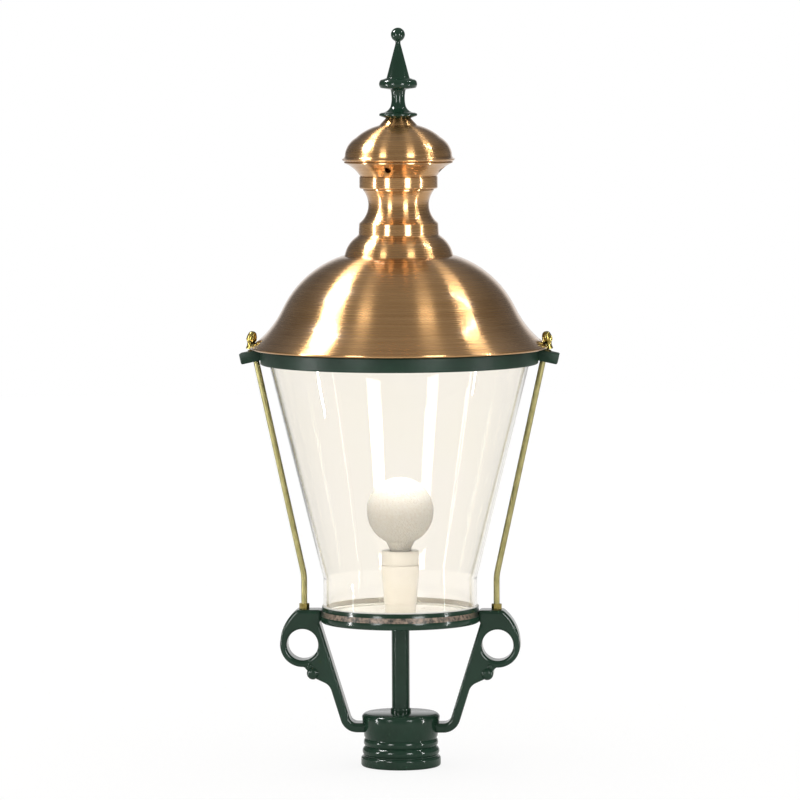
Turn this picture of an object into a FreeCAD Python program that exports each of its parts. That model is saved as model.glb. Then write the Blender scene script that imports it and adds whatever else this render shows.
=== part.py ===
import FreeCAD, Part
import math
import os
import re
import Sketcher

# Post top lantern. Millimetres, +Z up, origin at the centre of the socket's lower face.
# The tie rods and the arms lie in the XZ plane; the front of the lantern looks along -Y.
# Each size is one cell of the sheet. Lengths are in mm, names ending in _lean are degrees,
# and a radius name ends in _r.
SIZES = {
    # Cast base: the socket that drops over the post
    "post_bore_r": 38.5,
    "socket_roof": 9,
    "socket_h": 63.2,
    "socket_wall": 7.7,
    "socket_taper": 2.7,
    "socket_shoulder": 4.2,
    "socket_shoulder_r": 7,
    "foot_bead_proud": 1,
    "foot_bead_h": 12.4,
    "foot_bead_edge": 3,
    "bead_sink": 2.45,
    "bead_step": 1.5,
    "bead_gap": 1.3,
    "bead_h": 9.1,
    "bead_bow_r": 6.5,
    "band_sink": 3.6,
    # Clamp screws through the back of the socket
    "clamp_screw_r": 4,
    "clamp_screw_drop": 23,
    "clamp_screw_key_r": 2.2,
    "clamp_screw_key_depth": 4,
    "clamp_screw_recess": 0.4,
    "clamp_screw_lean": 42,
    # Cast base: the arms
    "arm_thickness": 32,
    "arm_root_set": 1.5,
    "arm_drop": 22.5,
    "arm_bar_h": 11.1,
    "elbow_reach": 5.2,
    "elbow_r": 20,
    "arm_set": 3.2,
    "elbow_inner_reach": 5.2,
    "elbow_inner_r": 9,
    "arm_hollow_drop": 21.8,
    "arm_hollow_r": 15,
    "arm_hollow_lean": 66,
    "knuckle_set": 12.4,
    "knuckle_drop": 6,
    "knuckle_r": 8,
    "knuckle_proud": 1.5,
    "knuckle_neck": 2.2,
    "eye_set": 1.5,
    "eye_drop": 28.5,
    "eye_r": 26.7,
    "eye_wall": 8.1,
    "eye_edge": 2.5,
    "ear_rise": 13,
    "ear_half_w": 8,
    "ear_brow_sink": 0.3,
    "ear_brow_r": 51,
    # Cast base: the gallery ring
    "gallery_wall": 3.2,
    "gallery_low_z": 173.5,
    "gallery_lip_h": 6,
    "tray_ledge": 5.2,
    "gallery_edge": 2.2,
    "gallery_foot_edge": 4,
    "seat_rise": 11,
    "glass_clearance": 0.8,
    # Tray that closes the gallery
    "glass_ledge": 7.8,
    "tray_t": 1.5,
    "tray_clearance": 0.3,
    "tray_vent_r": 4,
    "tray_vent_ring_r": 48,
    "tray_screw_r": 1.5,
    "tray_screw_set": 2.6,
    "tray_screw_head_r": 2.5,
    "tray_screw_head_h": 1.8,
    "tray_screw_length": 7,
    # Stem
    "stem_r": 10.6,
    "stem_wall": 1.5,
    "collar_r": 12,
    "collar_h": 5.5,
    "conduit_r": 5,
    "conduit_wall": 1.4,
    "conduit_foot_gap": 1,
    "conduit_rise": 9,
    "thread_clearance": 0.05,
    "conduit_nut_af": 14,
    "conduit_nut_h": 4,
    "bush_gap": 0.1,
    "bush_wall": 0.9,
    "bush_length": 8,
    # Lampholder
    "holder_base_set": 0.7,
    "holder_base_h": 10,
    "holder_wall": 2,
    "holder_room": 4,
    "holder_taper": 4,
    "holder_body_h": 44.5,
    "holder_wire_r": 4,
    "holder_ring_set": 1.2,
    "holder_ring_h": 17.2,
    "holder_ring_gap": 0.7,
    "insert_rim": 1.1,
    "insert_h": 32,
    "insert_step_gap": 0.25,
    "insert_step_h": 1.4,
    "shell_wall": 0.65,
    "cap_clearance": 0.25,
    "shell_h": 24,
    "contact_r": 3.6,
    "contact_h": 3,
    # Globe bulb
    "bulb_tip_r": 5,
    "bulb_tip_h": 1.6,
    "cap_r": 13,
    "cap_h": 23,
    "cap_wall": 0.5,
    "cap_foot_r": 8,
    "cap_foot_h": 3,
    "globe_r": 39.5,
    "globe_rise": 46.4,
    "globe_wall": 0.9,
    "globe_neck_r": 17,
    "globe_neck_gap": 0.5,
    "globe_tail_gap": 0.5,
    "globe_tail_h": 7,
    "mount_clearance": 0.3,
    "mount_foot_r": 9,
    "mount_r": 3,
    "mount_drop": 24,
    # Glass shade
    "glass_foot_r": 91,
    "glass_wall": 3.5,
    "glass_skirt_h": 38,
    "glass_top_r": 155.3,
    "glass_h": 300,
    "gasket_t": 2,
    "top_gasket_w": 5.3,
    "gasket_w": 6.4,
    # Tie rods
    "rod_r": 3.5,
    "rod_set": 19,
    "rod_grip": 16,
    "rod_upright": 40,
    "rod_bend_r": 60,
    "rod_nut_wall": 1.7,
    "rod_nut_h": 6.6,
    # Crown ring
    "hoop_wall": 6,
    "hoop_gap": 2.7,
    "hoop_drop": 11,
    "hoop_rise": 6,
    "hoop_edge": 1.5,
    "flange_w": 16,
    "flange_t": 3,
    "spigot_step": 6,
    "spigot_wall": 4,
    "spigot_gap": 0.3,
    "lug_overhang": 6.7,
    "lug_drop": 1.6,
    "lug_t": 13,
    "lug_width": 22,
    "lug_reach": 17.4,
    "lug_sink": 2.3,
    "lug_corner_r": 6,
    "fork_gap": 0.5,
    # Thumb nuts and their washers
    "washer_rim": 3.7,
    "washer_t": 1.5,
    "rod_clearance": 0.06,
    "knob_h": 21.5,
    "knob_rim": 1,
    "knob_wall": 0.5,
    "knob_foot_h": 1,
    "knob_waist_h": 3.2,
    "knob_bulge": 2.6,
    "knob_belly_h": 14.5,
    "knob_swell_r": 18,
    "knob_crown": 9.5,
    "knob_bore_gap": 1.5,
    "knob_flute_r": 1.3,
    "notch_gap": 2.1,
    "notch_lead": 2.8,
    # Spun copper hood
    "hood_wall": 1.2,
    "lip_overhang": 11.1,
    "lip_rise": 10.2,
    "dome_r": 118.8,
    "dome_shelf": 2.8,
    "dome_waist_lean": 25.4,
    "dome_ledge": 12,
    "flare_r": 112,
    "lip_lean": 55.5,
    "lip_r": 1.8,
    "base_h": 39.2,
    "base_ogee_w": 14.6,
    "base_ogee_h": 23.6,
    "base_ogee_set": 2.4,
    "base_ogee_lean": 57,
    "base_bow_r": 35,
    "base_foot_lean": 14,
    "base_band_swell": 1,
    "base_top_set": 0.6,
    "base_ledge": 5,
    "base_edge": 2,
    "neck_h": 40,
    "neck_taper": 4.2,
    "neck_top_r": 41.8,
    "neck_hollow_r": 27,
    "neck_bead_h": 1.8,
    "cup_h": 32,
    "cup_band_set": 5.2,
    "cup_band_h": 15.6,
    "cup_edge": 2,
    "cup_ledge": 3.8,
    "cup_rim_set": 2.2,
    "cup_flare_r": 32,
    "vent_r": 3.6,
    "vent_rise": 21.7,
    "vent_turn_lean": 12,
    "cap_rim_r": 66,
    "cap_rim_h": 3.4,
    "cap_side_set": 2.1,
    "cap_side_h": 9,
    "cap_side_lean": 6,
    "cap_rim_lean": 20,
    "cap_dome_r": 40.1,
    "cap_shoulder_r": 28,
    "cap_shoulder_h": 40.8,
    "cap_shoulder_lean": 82,
    "cap_throat_r": 21.8,
    "cap_top_lean": 50,
    "cap_top_r": 14.8,
    "hood_cap_h": 50.6,
    # Finial
    "finial_disc_r": 22.4,
    "finial_disc_h": 2.9,
    "finial_disc_t": 2.4,
    "finial_cove_r": 12,
    "finial_stem_r": 8.9,
    "finial_cove_h": 7.7,
    "finial_stem_h": 19.4,
    "finial_stem_bow_r": 40,
    "finial_plate_r": 23,
    "finial_plate_set": 1.85,
    "finial_plate_t": 9.5,
    "finial_plate_bow_r": 7,
    "finial_cone_r": 13.6,
    "finial_cone_set": 2.25,
    "finial_neck_r": 3,
    "finial_spire_h": 40.2,
    "finial_ball_r": 8.3,
    "finial_ball_set": 10.6,
    "finial_tap_h": 30,
    # Bridge bar and long stud
    "bridge_w": 20,
    "bridge_t": 4,
    "bridge_end_gap": 0.5,
    "bridge_screw_r": 2.5,
    "bridge_screw_head_r": 4.5,
    "bridge_screw_head_h": 3,
    "stud_r": 3,
    "stud_hole_gap": 0.25,
    "stud_drop": 12,
    "stud_nut_af": 10,
    "stud_nut_h": 5,
}

# Counts of repeated features
TRAY_VENTS = 6
TRAY_SCREWS = 3
CUP_VENTS = 4
KNOB_FLUTES = 10

# Places that follow from the sizes, as expressions over the sheet
HOLDER_Z = "(seat_z + holder_base_h)"
RING_Z = "(seat_z + holder_base_h + holder_body_h)"
INSERT_Z = "(seat_z + holder_base_h + holder_wall)"
CONTACT_Z = "(seat_z + holder_base_h + holder_wall + insert_h)"
TIP_Z = "(seat_z + holder_base_h + holder_wall + insert_h + contact_h)"
CAP_Z = "(seat_z + holder_base_h + holder_wall + insert_h + contact_h + bulb_tip_h)"
GLASS_Z = "(seat_z + gasket_t)"
GLASS_TOP_Z = "(seat_z + gasket_t + glass_h)"
FLANGE_Z = "(seat_z + gasket_t + glass_h + gasket_t)"
BRIDGE_Z = "(seat_z + gasket_t + glass_h + gasket_t + flange_t)"
LUG_X = "(hoop_r + lug_overhang)"
LUG_Z = f"({FLANGE_Z} - lug_drop)"
WASHER_S = "(lug_s + lug_t / 2)"
KNOB_S = "(lug_s + lug_t / 2 + washer_t)"
ROD_END_S = "(lug_s + lug_t / 2 + washer_t + knob_bore_depth - knob_bore_gap)"
FLARE_X = "(hoop_r + lip_overhang + flare_r * cos(lip_lean))"
FLARE_Z = f"({FLANGE_Z} + lip_rise + flare_r * sin(lip_lean))"
HOOD_TOP_Z = "(dome_centre_z + dome_r * sin(dome_top_lean))"
NECK_Z = f"({HOOD_TOP_Z} + base_h)"
CUP_Z = f"({NECK_Z} + neck_h)"
HOOD_CAP_Z = f"({CUP_Z} + cup_h)"
FINIAL_Z = f"({HOOD_CAP_Z} + hood_cap_h)"

# Sizes that follow from those in the sheet, so that what fits together stays together
DERIVED = {
    # Cast base
    "socket_r": "post_bore_r + socket_wall",
    "post_bore_depth": "socket_h - socket_roof",
    "foot_bead_r": "socket_r + foot_bead_proud",
    "bead_root_r": "socket_r - bead_sink",
    "band_root_r": "socket_r - band_sink",
    "clamp_screw_z": "socket_h - clamp_screw_drop",
    "arm_root_x": "post_bore_r + arm_root_set",
    "arm_low_z": "socket_h - arm_drop",
    "elbow_x": "socket_r + elbow_reach",
    "elbow_inner_x": "socket_r + elbow_inner_reach",
    "arm_lean": (
        "atan((gallery_r + arm_set - elbow_inner_x - elbow_inner_r)"
        " / (gallery_low_z - arm_low_z - arm_bar_h))"),
    "arm_hollow_z": "knuckle_z - arm_hollow_drop",
    "knuckle_x": "eye_x - knuckle_set",
    "knuckle_z": "eye_z - eye_r - knuckle_drop",
    "eye_x": "rod_x + eye_set",
    "eye_z": "gallery_low_z - eye_drop",
    "eye_hole_r": "eye_r - eye_wall",
    "ear_top_z": "gallery_low_z + ear_rise",
    "gallery_r": "glass_foot_r + glass_clearance + gallery_wall",
    "gallery_top_z": "seat_z + gallery_lip_h",
    "gallery_inner_r": "tray_r - tray_ledge",
    "seat_z": "gallery_low_z + seat_rise",
    "tray_r": "glass_foot_r - glass_ledge",
    "tray_screw_ring_r": "tray_r - tray_screw_set",
    # Conduit, lampholder and bulb
    "conduit_bore_r": "conduit_r - conduit_wall",
    "conduit_top_z": "seat_z + conduit_rise",
    "bush_r": "conduit_bore_r - bush_gap",
    "bush_bore_r": "bush_r - bush_wall",
    "shell_bore_r": "cap_r + cap_clearance",
    "shell_r": "shell_bore_r + shell_wall",
    "insert_r": "shell_r + insert_rim",
    "insert_step_r": "shell_bore_r - insert_step_gap",
    "holder_foot_r": "insert_r + holder_room",
    "holder_base_r": "holder_foot_r - holder_base_set",
    "holder_top_r": "holder_foot_r + holder_taper",
    "holder_ring_r": "holder_top_r - holder_ring_set",
    "holder_ring_bore_r": "shell_r + holder_ring_gap",
    "globe_tail_r": "cap_r - cap_wall - globe_tail_gap",
    "globe_z": f"{CAP_Z} + cap_h + globe_rise",
    "mount_top_z": "globe_z - mount_drop",
    # Glass, rods, crown ring and thumb nuts
    "gasket_inner_r": "glass_foot_r - gasket_w",
    "hoop_inner_r": "glass_top_r + hoop_gap",
    "hoop_r": "hoop_inner_r + hoop_wall",
    "spigot_r": "hoop_inner_r - spigot_step",
    "flange_inner_r": "spigot_r - flange_w",
    "rod_x": "gallery_r + rod_set",
    "rod_foot_z": "ear_top_z - rod_grip",
    "rod_bend_z": "ear_top_z + rod_upright",
    "rod_lean": f"atan(({LUG_X} - rod_x) / ({LUG_Z} - rod_bend_z))",
    "lug_s": f"({LUG_Z} - rod_bend_z) / cos(rod_lean)",
    "rod_nut_af": "2 * (rod_r + rod_nut_wall)",
    "lug_root": "lug_overhang + lug_sink",
    "fork_r": "rod_r + fork_gap",
    "washer_r": "rod_r + washer_rim",
    "knob_foot_r": "rod_r + knob_rim",
    "knob_waist_r": "rod_r + knob_wall",
    "knob_r": "rod_r + knob_bulge",
    "knob_bore_depth": "knob_h - knob_crown",
    "notch_r": "knob_r + notch_gap",
    "notch_x": "hoop_r + lug_overhang + notch_lead",
    # Hood
    "neck_foot_r": "neck_top_r + neck_taper",
    "base_top_r": "neck_foot_r + base_top_set",
    "base_hole_r": "neck_foot_r - base_ledge",
    "base_band_r": "base_top_r + base_band_swell",
    "base_ogee_r": "base_band_r + base_ogee_set",
    "base_foot_r": "base_ogee_r + base_ogee_w",
    "dome_hole_r": "base_foot_r - dome_ledge",
    "dome_centre_r": f"{FLARE_X} - (dome_r + flare_r) * cos(dome_waist_lean)",
    "dome_centre_z": f"{FLARE_Z} - (dome_r + flare_r) * sin(dome_waist_lean)",
    "dome_top_lean": "acos((base_foot_r + dome_shelf - dome_centre_r) / dome_r)",
    "cup_band_r": "neck_top_r + cup_band_set",
    "cup_hole_r": "neck_top_r - cup_ledge",
    "cup_rim_r": "cap_rim_r - cup_rim_set",
    "vent_z": f"{CUP_Z} + vent_rise",
    "cap_side_r": "cap_rim_r - cap_side_set",
    # Finial
    "finial_stem_low_h": "finial_disc_h + 1.5 * finial_disc_t + finial_cove_h",
    "finial_stem_top_h": "finial_stem_low_h + finial_stem_h",
    "finial_plate_h": "finial_stem_top_h + finial_plate_set + finial_plate_t / 2",
    "finial_cone_h": "finial_plate_h + finial_plate_t / 2 + finial_cone_set",
    "finial_neck_h": "finial_cone_h + finial_spire_h",
    "finial_ball_h": "finial_neck_h + finial_ball_set",
}

doc = FreeCAD.newDocument("post_top_lantern")
sheet = doc.addObject("Spreadsheet::Sheet", "Sizes")
for row, (alias, value) in enumerate(SIZES.items(), start=1):
    sheet.set(f"A{row}", alias)
    sheet.set(f"B{row}", str(value))
    sheet.setAlias(f"B{row}", alias)
doc.recompute()


def spelled(text):
    """The expression with each derived size spelled out in those of the sheet."""
    while any(word in DERIVED for word in re.findall(r"[a-z_]+", text)):
        text = re.sub(r"[a-z_]+", lambda word: f"({DERIVED[word[0]]})" if word[0] in DERIVED
                      else word[0], text)
    return text


def bound(text):
    """The expression with each size name pointed at its cell of the sheet."""
    return re.sub(r"[a-z_]+", lambda word: "Sizes." + word[0] if word[0] in SIZES else word[0],
                  spelled(text))


def number(text):
    """What an expression over the sheet comes to now."""
    return float(sheet.evalExpression(bound(text).replace("Sizes.", "")))


def new_body(label):
    """An empty body whose label names the piece and its file."""
    body = doc.addObject("PartDesign::Body", label)
    body.Label = label
    return body


def datum(body, role):
    """The body's own origin plane or axis with this role."""
    return next(item for item in body.Origin.OriginFeatures if item.Role == role)


def new_sketch(body, name, plane, height=None, along=None):
    """A sketch on one of the body's origin planes, raised by height or set square to a rod."""
    sketch = body.newObject("Sketcher::SketchObject", name)
    sketch.AttachmentSupport = (datum(body, plane), "")
    sketch.MapMode = "FlatFace"
    if height:
        sketch.setExpression("AttachmentOffset.Base.z", bound(height))
    if along:
        x_text, z_text, lean = along
        tilt = FreeCAD.Rotation(FreeCAD.Vector(0, 1, 0), number(lean))
        sketch.AttachmentOffset = FreeCAD.Placement(FreeCAD.Vector(), tilt)
        sketch.setExpression("AttachmentOffset.Base.x", bound(x_text))
        sketch.setExpression("AttachmentOffset.Base.z", bound(z_text))
        sketch.setExpression("AttachmentOffset.Rotation.Angle", bound(lean))
    return sketch


def pin_down(sketch, kind, ends, text):
    """A driving constraint whose value is an expression over the sheet."""
    index = sketch.addConstraint(Sketcher.Constraint(kind, *ends, number(text)))
    sketch.setExpression(f"Constraints[{index}]", bound(text))


def pin_point(sketch, edge, end, x_text, y_text):
    """Holds one end of an edge at a place given by two expressions."""
    for kind, text, axis in (("DistanceX", x_text, -2), ("DistanceY", y_text, -1)):
        if abs(number(text)) < 1e-9:
            sketch.addConstraint(Sketcher.Constraint("PointOnObject", edge, end, axis))
        else:
            pin_down(sketch, kind, (-1, 1, edge, end), text)


def add_arc(sketch, start, finish, radius):
    """An arc under half a turn: it turns left if the radius is positive, right if negative."""
    chord = finish - start
    rise = math.sqrt(radius * radius - chord.Length * chord.Length / 4)
    left = FreeCAD.Vector(-chord.y, chord.x, 0).normalize()
    centre = (start + finish) * 0.5 + left * math.copysign(rise, radius)
    first, last = (start, finish) if radius > 0 else (finish, start)
    angles = [math.atan2(point.y - centre.y, point.x - centre.x) for point in (first, last)]
    circle = Part.Circle(centre, FreeCAD.Vector(0, 0, 1), abs(radius))
    return sketch.addGeometry(Part.ArcOfCircle(circle, angles[0], angles[1]), False)


def draw(sketch, points, closed=True):
    """Joins points (x, y) or (x, y, radius of the arc to the next point) into one outline."""
    places = [FreeCAD.Vector(number(point[0]), number(point[1]), 0) for point in points]
    count = len(points) if closed else len(points) - 1
    ends = []
    for index in range(count):
        start, finish = places[index], places[(index + 1) % len(points)]
        radius = points[index][2] if len(points[index]) > 2 else None
        if radius is None:
            edge = sketch.addGeometry(Part.LineSegment(start, finish), False)
        else:
            edge = add_arc(sketch, start, finish, number(radius))
        first = 2 if radius is not None and number(radius) < 0 else 1
        ends.append((edge, first, 3 - first, radius))
    for index in range(count if closed else count - 1):
        edge, _, last, _ = ends[index]
        after, first, _, _ = ends[(index + 1) % count]
        sketch.addConstraint(Sketcher.Constraint("Coincident", edge, last, after, first))
    for index, (edge, first, last, radius) in enumerate(ends):
        pin_point(sketch, edge, first, points[index][0], points[index][1])
        if radius is not None:
            pin_down(sketch, "Radius", (edge,), f"abs({radius})")
    if not closed:
        pin_point(sketch, ends[-1][0], ends[-1][2], points[-1][0], points[-1][1])
    return sketch


def draw_open_slot(sketch, sign, centre, radius, reach):
    """A slot with a round end at centre, open outwards from the lantern's axis."""
    mouth = f"{sign}({centre} + {reach})"
    return draw(sketch, [
        (f"{sign}({centre})", f"{sign}(-{radius})", f"-{radius}"),
        (f"{sign}({centre} - {radius})", "0", f"-{radius}"),
        (f"{sign}({centre})", f"{sign}({radius})"),
        (mouth, f"{sign}({radius})"),
        (mouth, f"{sign}(-{radius})"),
    ])


def draw_circles(sketch, circles):
    """Circles given as (x, y, radius)."""
    for x_text, y_text, radius in circles:
        centre = FreeCAD.Vector(number(x_text), number(y_text), 0)
        circle = Part.Circle(centre, FreeCAD.Vector(0, 0, 1), number(radius))
        edge = sketch.addGeometry(circle, False)
        pin_point(sketch, edge, 3, x_text, y_text)
        pin_down(sketch, "Radius", (edge,), radius)
    return sketch


def turn(body, name, points, kind="Revolution"):
    """A section (radius, height) turned round the body's own Z axis."""
    sketch = draw(new_sketch(body, name + "_section", "XZ_Plane"), points)
    feature = body.newObject("PartDesign::" + kind, name)
    feature.Profile = sketch
    feature.ReferenceAxis = (sketch, ["V_Axis"])
    feature.Angle = 360
    return feature


def pad(body, name, sketch, length, middle=False):
    """The sketch raised along its own normal, or to both sides of its plane."""
    feature = body.newObject("PartDesign::Pad", name)
    feature.Profile = sketch
    feature.SideType = "Symmetric" if middle else "One side"
    feature.setExpression("Length", bound(length))
    return feature


def pocket(body, name, sketch, depth, middle=False):
    """The sketch cut against its own normal, or to both sides of its plane."""
    feature = body.newObject("PartDesign::Pocket", name)
    feature.Profile = sketch
    feature.SideType = "Symmetric" if middle else "One side"
    feature.setExpression("Length", bound(depth))
    return feature


def repeat_round(body, name, features, count):
    """Copies of the features spread evenly round the body's Z axis."""
    pattern = body.newObject("PartDesign::PolarPattern", name)
    pattern.Originals = features
    pattern.Axis = (datum(body, "Z_Axis"), [""])
    pattern.Angle = 360
    pattern.Occurrences = count
    body.Tip = pattern
    return pattern


def round_rims(body, name, rim_r, radius):
    """Rounds every full circular edge of this radius on the piece so far."""
    doc.recompute()
    base = body.Tip
    rims = [f"Edge{index}" for index, edge in enumerate(base.Shape.Edges, start=1)
            if isinstance(edge.Curve, Part.Circle) and edge.isClosed()
            and abs(edge.Curve.Radius - number(rim_r)) < 1e-6]
    feature = body.newObject("PartDesign::Fillet", name)
    feature.Base = (base, rims)
    feature.setExpression("Radius", bound(radius))
    return feature


def ring(label, inner_r, outer_r, low_z, height):
    """A plain turned ring or sleeve."""
    body = new_body(label)
    top_z = f"{low_z} + {height}"
    turn(body, "wall", [(inner_r, low_z), (outer_r, low_z), (outer_r, top_z), (inner_r, top_z)])
    return body


def spun_shell(label, stations):
    """Sheet metal of one thickness: stations (r, z, lean of the outside, bend to the next)."""
    body = new_body(label)
    outside = [(r, z, bend) if bend else (r, z) for r, z, _, bend in stations]
    inside = []
    for place, (r, z, lean, _) in enumerate(stations):
        point = (f"{r} - hood_wall * cos({lean})", f"{z} - hood_wall * sin({lean})")
        bend = stations[place - 1][3] if place else None
        if bend and bend.startswith("-"):
            point += (f"({bend[1:]} - hood_wall)",)
        elif bend:
            point += (f"-({bend} + hood_wall)",)
        inside.append(point)
    turn(body, "sheet", outside + inside[::-1])
    return body


def on_rod(body, side, distance):
    """Stands a body on a rod's upper run, at this distance from the bend."""
    sign = "" if side == "right" else "-"
    tilt = FreeCAD.Rotation(FreeCAD.Vector(0, 1, 0), number(sign + "rod_lean"))
    body.Placement = FreeCAD.Placement(FreeCAD.Vector(), tilt)
    x_text = f"{sign}(rod_x + ({distance}) * sin(rod_lean))"
    body.setExpression("Placement.Base.x", bound(x_text))
    body.setExpression("Placement.Base.z", bound(f"rod_bend_z + ({distance}) * cos(rod_lean)"))
    if side == "right":
        body.setExpression("Placement.Rotation.Angle", bound("rod_lean"))


# ---------------------------------------------------------------- cast base and its fittings


def cast_frame():
    """Post socket, two arms with ring eyes, and the gallery, cast as one."""
    body = new_body("cast_frame")
    bead_tops = [f"foot_bead_h + bead_gap + {turn_no} * (bead_h + bead_gap)" for turn_no in (0, 1)]
    outline = [("post_bore_r", "0"), ("foot_bead_r - foot_bead_edge", "0", "foot_bead_edge")]
    outline += [("foot_bead_r", "foot_bead_edge")]
    outline += [("foot_bead_r", "foot_bead_h - foot_bead_edge", "foot_bead_edge")]
    outline += [("foot_bead_r - foot_bead_edge", "foot_bead_h"), ("bead_root_r", "foot_bead_h")]
    for step, low_z in enumerate(bead_tops):
        root_r = f"bead_root_r - {step} * bead_step"
        outline += [(root_r, low_z, "bead_bow_r"), (root_r, f"{low_z} + bead_h")]
    band_z = f"{bead_tops[1]} + bead_h"
    outline += [("band_root_r", band_z), ("band_root_r", f"{band_z} + bead_gap")]
    outline += [("socket_r - socket_taper", f"{band_z} + 2 * bead_gap")]
    outline += [("socket_r", "socket_h - socket_shoulder", "socket_shoulder_r")]
    outline += [("socket_r - socket_shoulder", "socket_h")]
    outline += [("conduit_r + thread_clearance", "socket_h")]
    outline += [("conduit_r + thread_clearance", "post_bore_depth")]
    outline += [("post_bore_r", "post_bore_depth")]
    turn(body, "socket", outline)
    arm = pad(body, "arm", arm_outline(body), "arm_thickness", middle=True)
    eye_sketch = new_sketch(body, "eye_outline", "XZ_Plane")
    eye = pad(body, "eye", draw_circles(eye_sketch, [("eye_x", "eye_z", "eye_r")]),
              "arm_thickness", middle=True)
    knuckle_sketch = new_sketch(body, "knuckle_outline", "XZ_Plane")
    draw_circles(knuckle_sketch, [("knuckle_x", "knuckle_z", "knuckle_r")])
    knuckle = pad(body, "knuckle", knuckle_sketch, "(arm_thickness + 2 * knuckle_proud)",
                  middle=True)
    repeat_round(body, "both_arms", [arm, eye, knuckle], 2)
    holes = [("eye_x", "eye_z", "eye_hole_r"), ("-eye_x", "eye_z", "eye_hole_r")]
    eye_holes = draw_circles(new_sketch(body, "eye_hole_outline", "XZ_Plane"), holes)
    pocket(body, "eye_holes", eye_holes, "2 * arm_thickness", middle=True)
    round_rims(body, "eye_rounding", "eye_hole_r", "eye_edge")
    turn(body, "gallery", [
        ("gallery_inner_r", "gallery_low_z"),
        ("gallery_r - gallery_foot_edge", "gallery_low_z", "gallery_foot_edge"),
        ("gallery_r", "gallery_low_z + gallery_foot_edge"),
        ("gallery_r", "gallery_top_z - gallery_edge", "gallery_edge"),
        ("gallery_r - gallery_edge", "gallery_top_z"),
        ("glass_foot_r + glass_clearance", "gallery_top_z"),
        ("glass_foot_r + glass_clearance", "seat_z"),
        ("tray_r + tray_clearance", "seat_z"),
        ("tray_r + tray_clearance", "seat_z - tray_t"),
        ("gallery_inner_r", "seat_z - tray_t"),
    ])
    rods = [("rod_x", "0", "rod_r + rod_clearance"), ("-rod_x", "0", "rod_r + rod_clearance")]
    rod_holes = draw_circles(new_sketch(body, "rod_hole_outline", "XY_Plane", "ear_top_z"), rods)
    pocket(body, "rod_holes", rod_holes, "ear_top_z - rod_foot_z + rod_clearance")
    screws = [(f"{sign}tray_screw_ring_r * {x_share}", f"tray_screw_ring_r * {y_share}",
               "tray_screw_r + thread_clearance")
              for sign, x_share, y_share in (("", "0", "1"), ("", "cos(30)", "(-sin(30))"),
                                             ("-", "cos(30)", "(-sin(30))"))]
    tray_z = "seat_z - tray_t"
    screw_holes = draw_circles(new_sketch(body, "tray_screw_outline", "XY_Plane", tray_z), screws)
    pocket(body, "tray_screw_holes", screw_holes, "tray_screw_length - tray_t + thread_clearance")
    clamp_holes(body)
    return body


def arm_outline(body):
    """The right arm seen from the front: elbow, leaning bar, knuckle root, eye and ear."""
    hollow_x = ("(elbow_x + elbow_r * cos(arm_lean) + (arm_hollow_z - arm_low_z"
                " - elbow_r * (1 - sin(arm_lean))) * tan(arm_lean))")
    heel_x = f"({hollow_x} + arm_hollow_r * (cos(arm_lean) - cos(arm_hollow_lean)))"
    heel_z = "(arm_hollow_z + arm_hollow_r * (sin(arm_hollow_lean) - sin(arm_lean)))"
    inner_z = "(arm_low_z + arm_bar_h)"
    slope_x = "(elbow_inner_x + elbow_inner_r * cos(arm_lean))"
    slope_z = f"({inner_z} + elbow_inner_r * (1 - sin(arm_lean)))"
    top_x = f"({slope_x} + (gallery_low_z - {slope_z}) * tan(arm_lean))"
    return draw(new_sketch(body, "arm_outline", "XZ_Plane"), [
        ("arm_root_x", "arm_low_z"),
        ("elbow_x", "arm_low_z", "elbow_r"),
        ("elbow_x + elbow_r * cos(arm_lean)", "arm_low_z + elbow_r * (1 - sin(arm_lean))"),
        (hollow_x, "arm_hollow_z", "-arm_hollow_r"),
        (heel_x, heel_z),
        ("knuckle_x", "knuckle_z - knuckle_r + knuckle_neck"),
        ("eye_x", "eye_z - eye_r + knuckle_neck"),
        ("eye_x + eye_r - ear_brow_sink", "eye_z", "ear_brow_r"),
        ("rod_x + ear_half_w", "ear_top_z"),
        ("gallery_r - gallery_edge", "ear_top_z"),
        ("gallery_r - gallery_edge", "gallery_low_z + gallery_foot_edge"),
        (top_x, "gallery_low_z"),
        (slope_x, slope_z, "-elbow_inner_r"),
        ("elbow_inner_x", inner_z),
        ("arm_root_x", inner_z),
    ])


def clamp_holes(body):
    """Two tapped holes that run square through the back of the socket wall."""
    for side, sign in (("right", "-"), ("left", "")):
        hole = body.newObject("PartDesign::SubtractiveCylinder", side + "_clamp_hole")
        hole.setExpression("Radius", bound("clamp_screw_r + thread_clearance"))
        hole.setExpression("Height", bound("2 * socket_r"))
        place_radially(hole, body, sign)


def place_radially(item, body, sign, distance=None):
    """Lays a primitive's axis level, pointing out through the back of the socket."""
    item.AttachmentSupport = (datum(body, "XY_Plane"), "")
    item.MapMode = "FlatFace"
    turned = FreeCAD.Rotation(FreeCAD.Vector(0, 0, 1), number(sign + "clamp_screw_lean"))
    level = FreeCAD.Rotation(FreeCAD.Vector(1, 0, 0), -90)
    item.AttachmentOffset = FreeCAD.Placement(FreeCAD.Vector(), turned * level)
    item.setExpression("AttachmentOffset.Base.z", bound("clamp_screw_z"))
    if distance:
        way = "-sin" if sign == "" else "sin"
        item.setExpression("AttachmentOffset.Base.x",
                           bound(f"({way}(clamp_screw_lean)) * ({distance})"))
        item.setExpression("AttachmentOffset.Base.y",
                           bound(f"cos(clamp_screw_lean) * ({distance})"))


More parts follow.
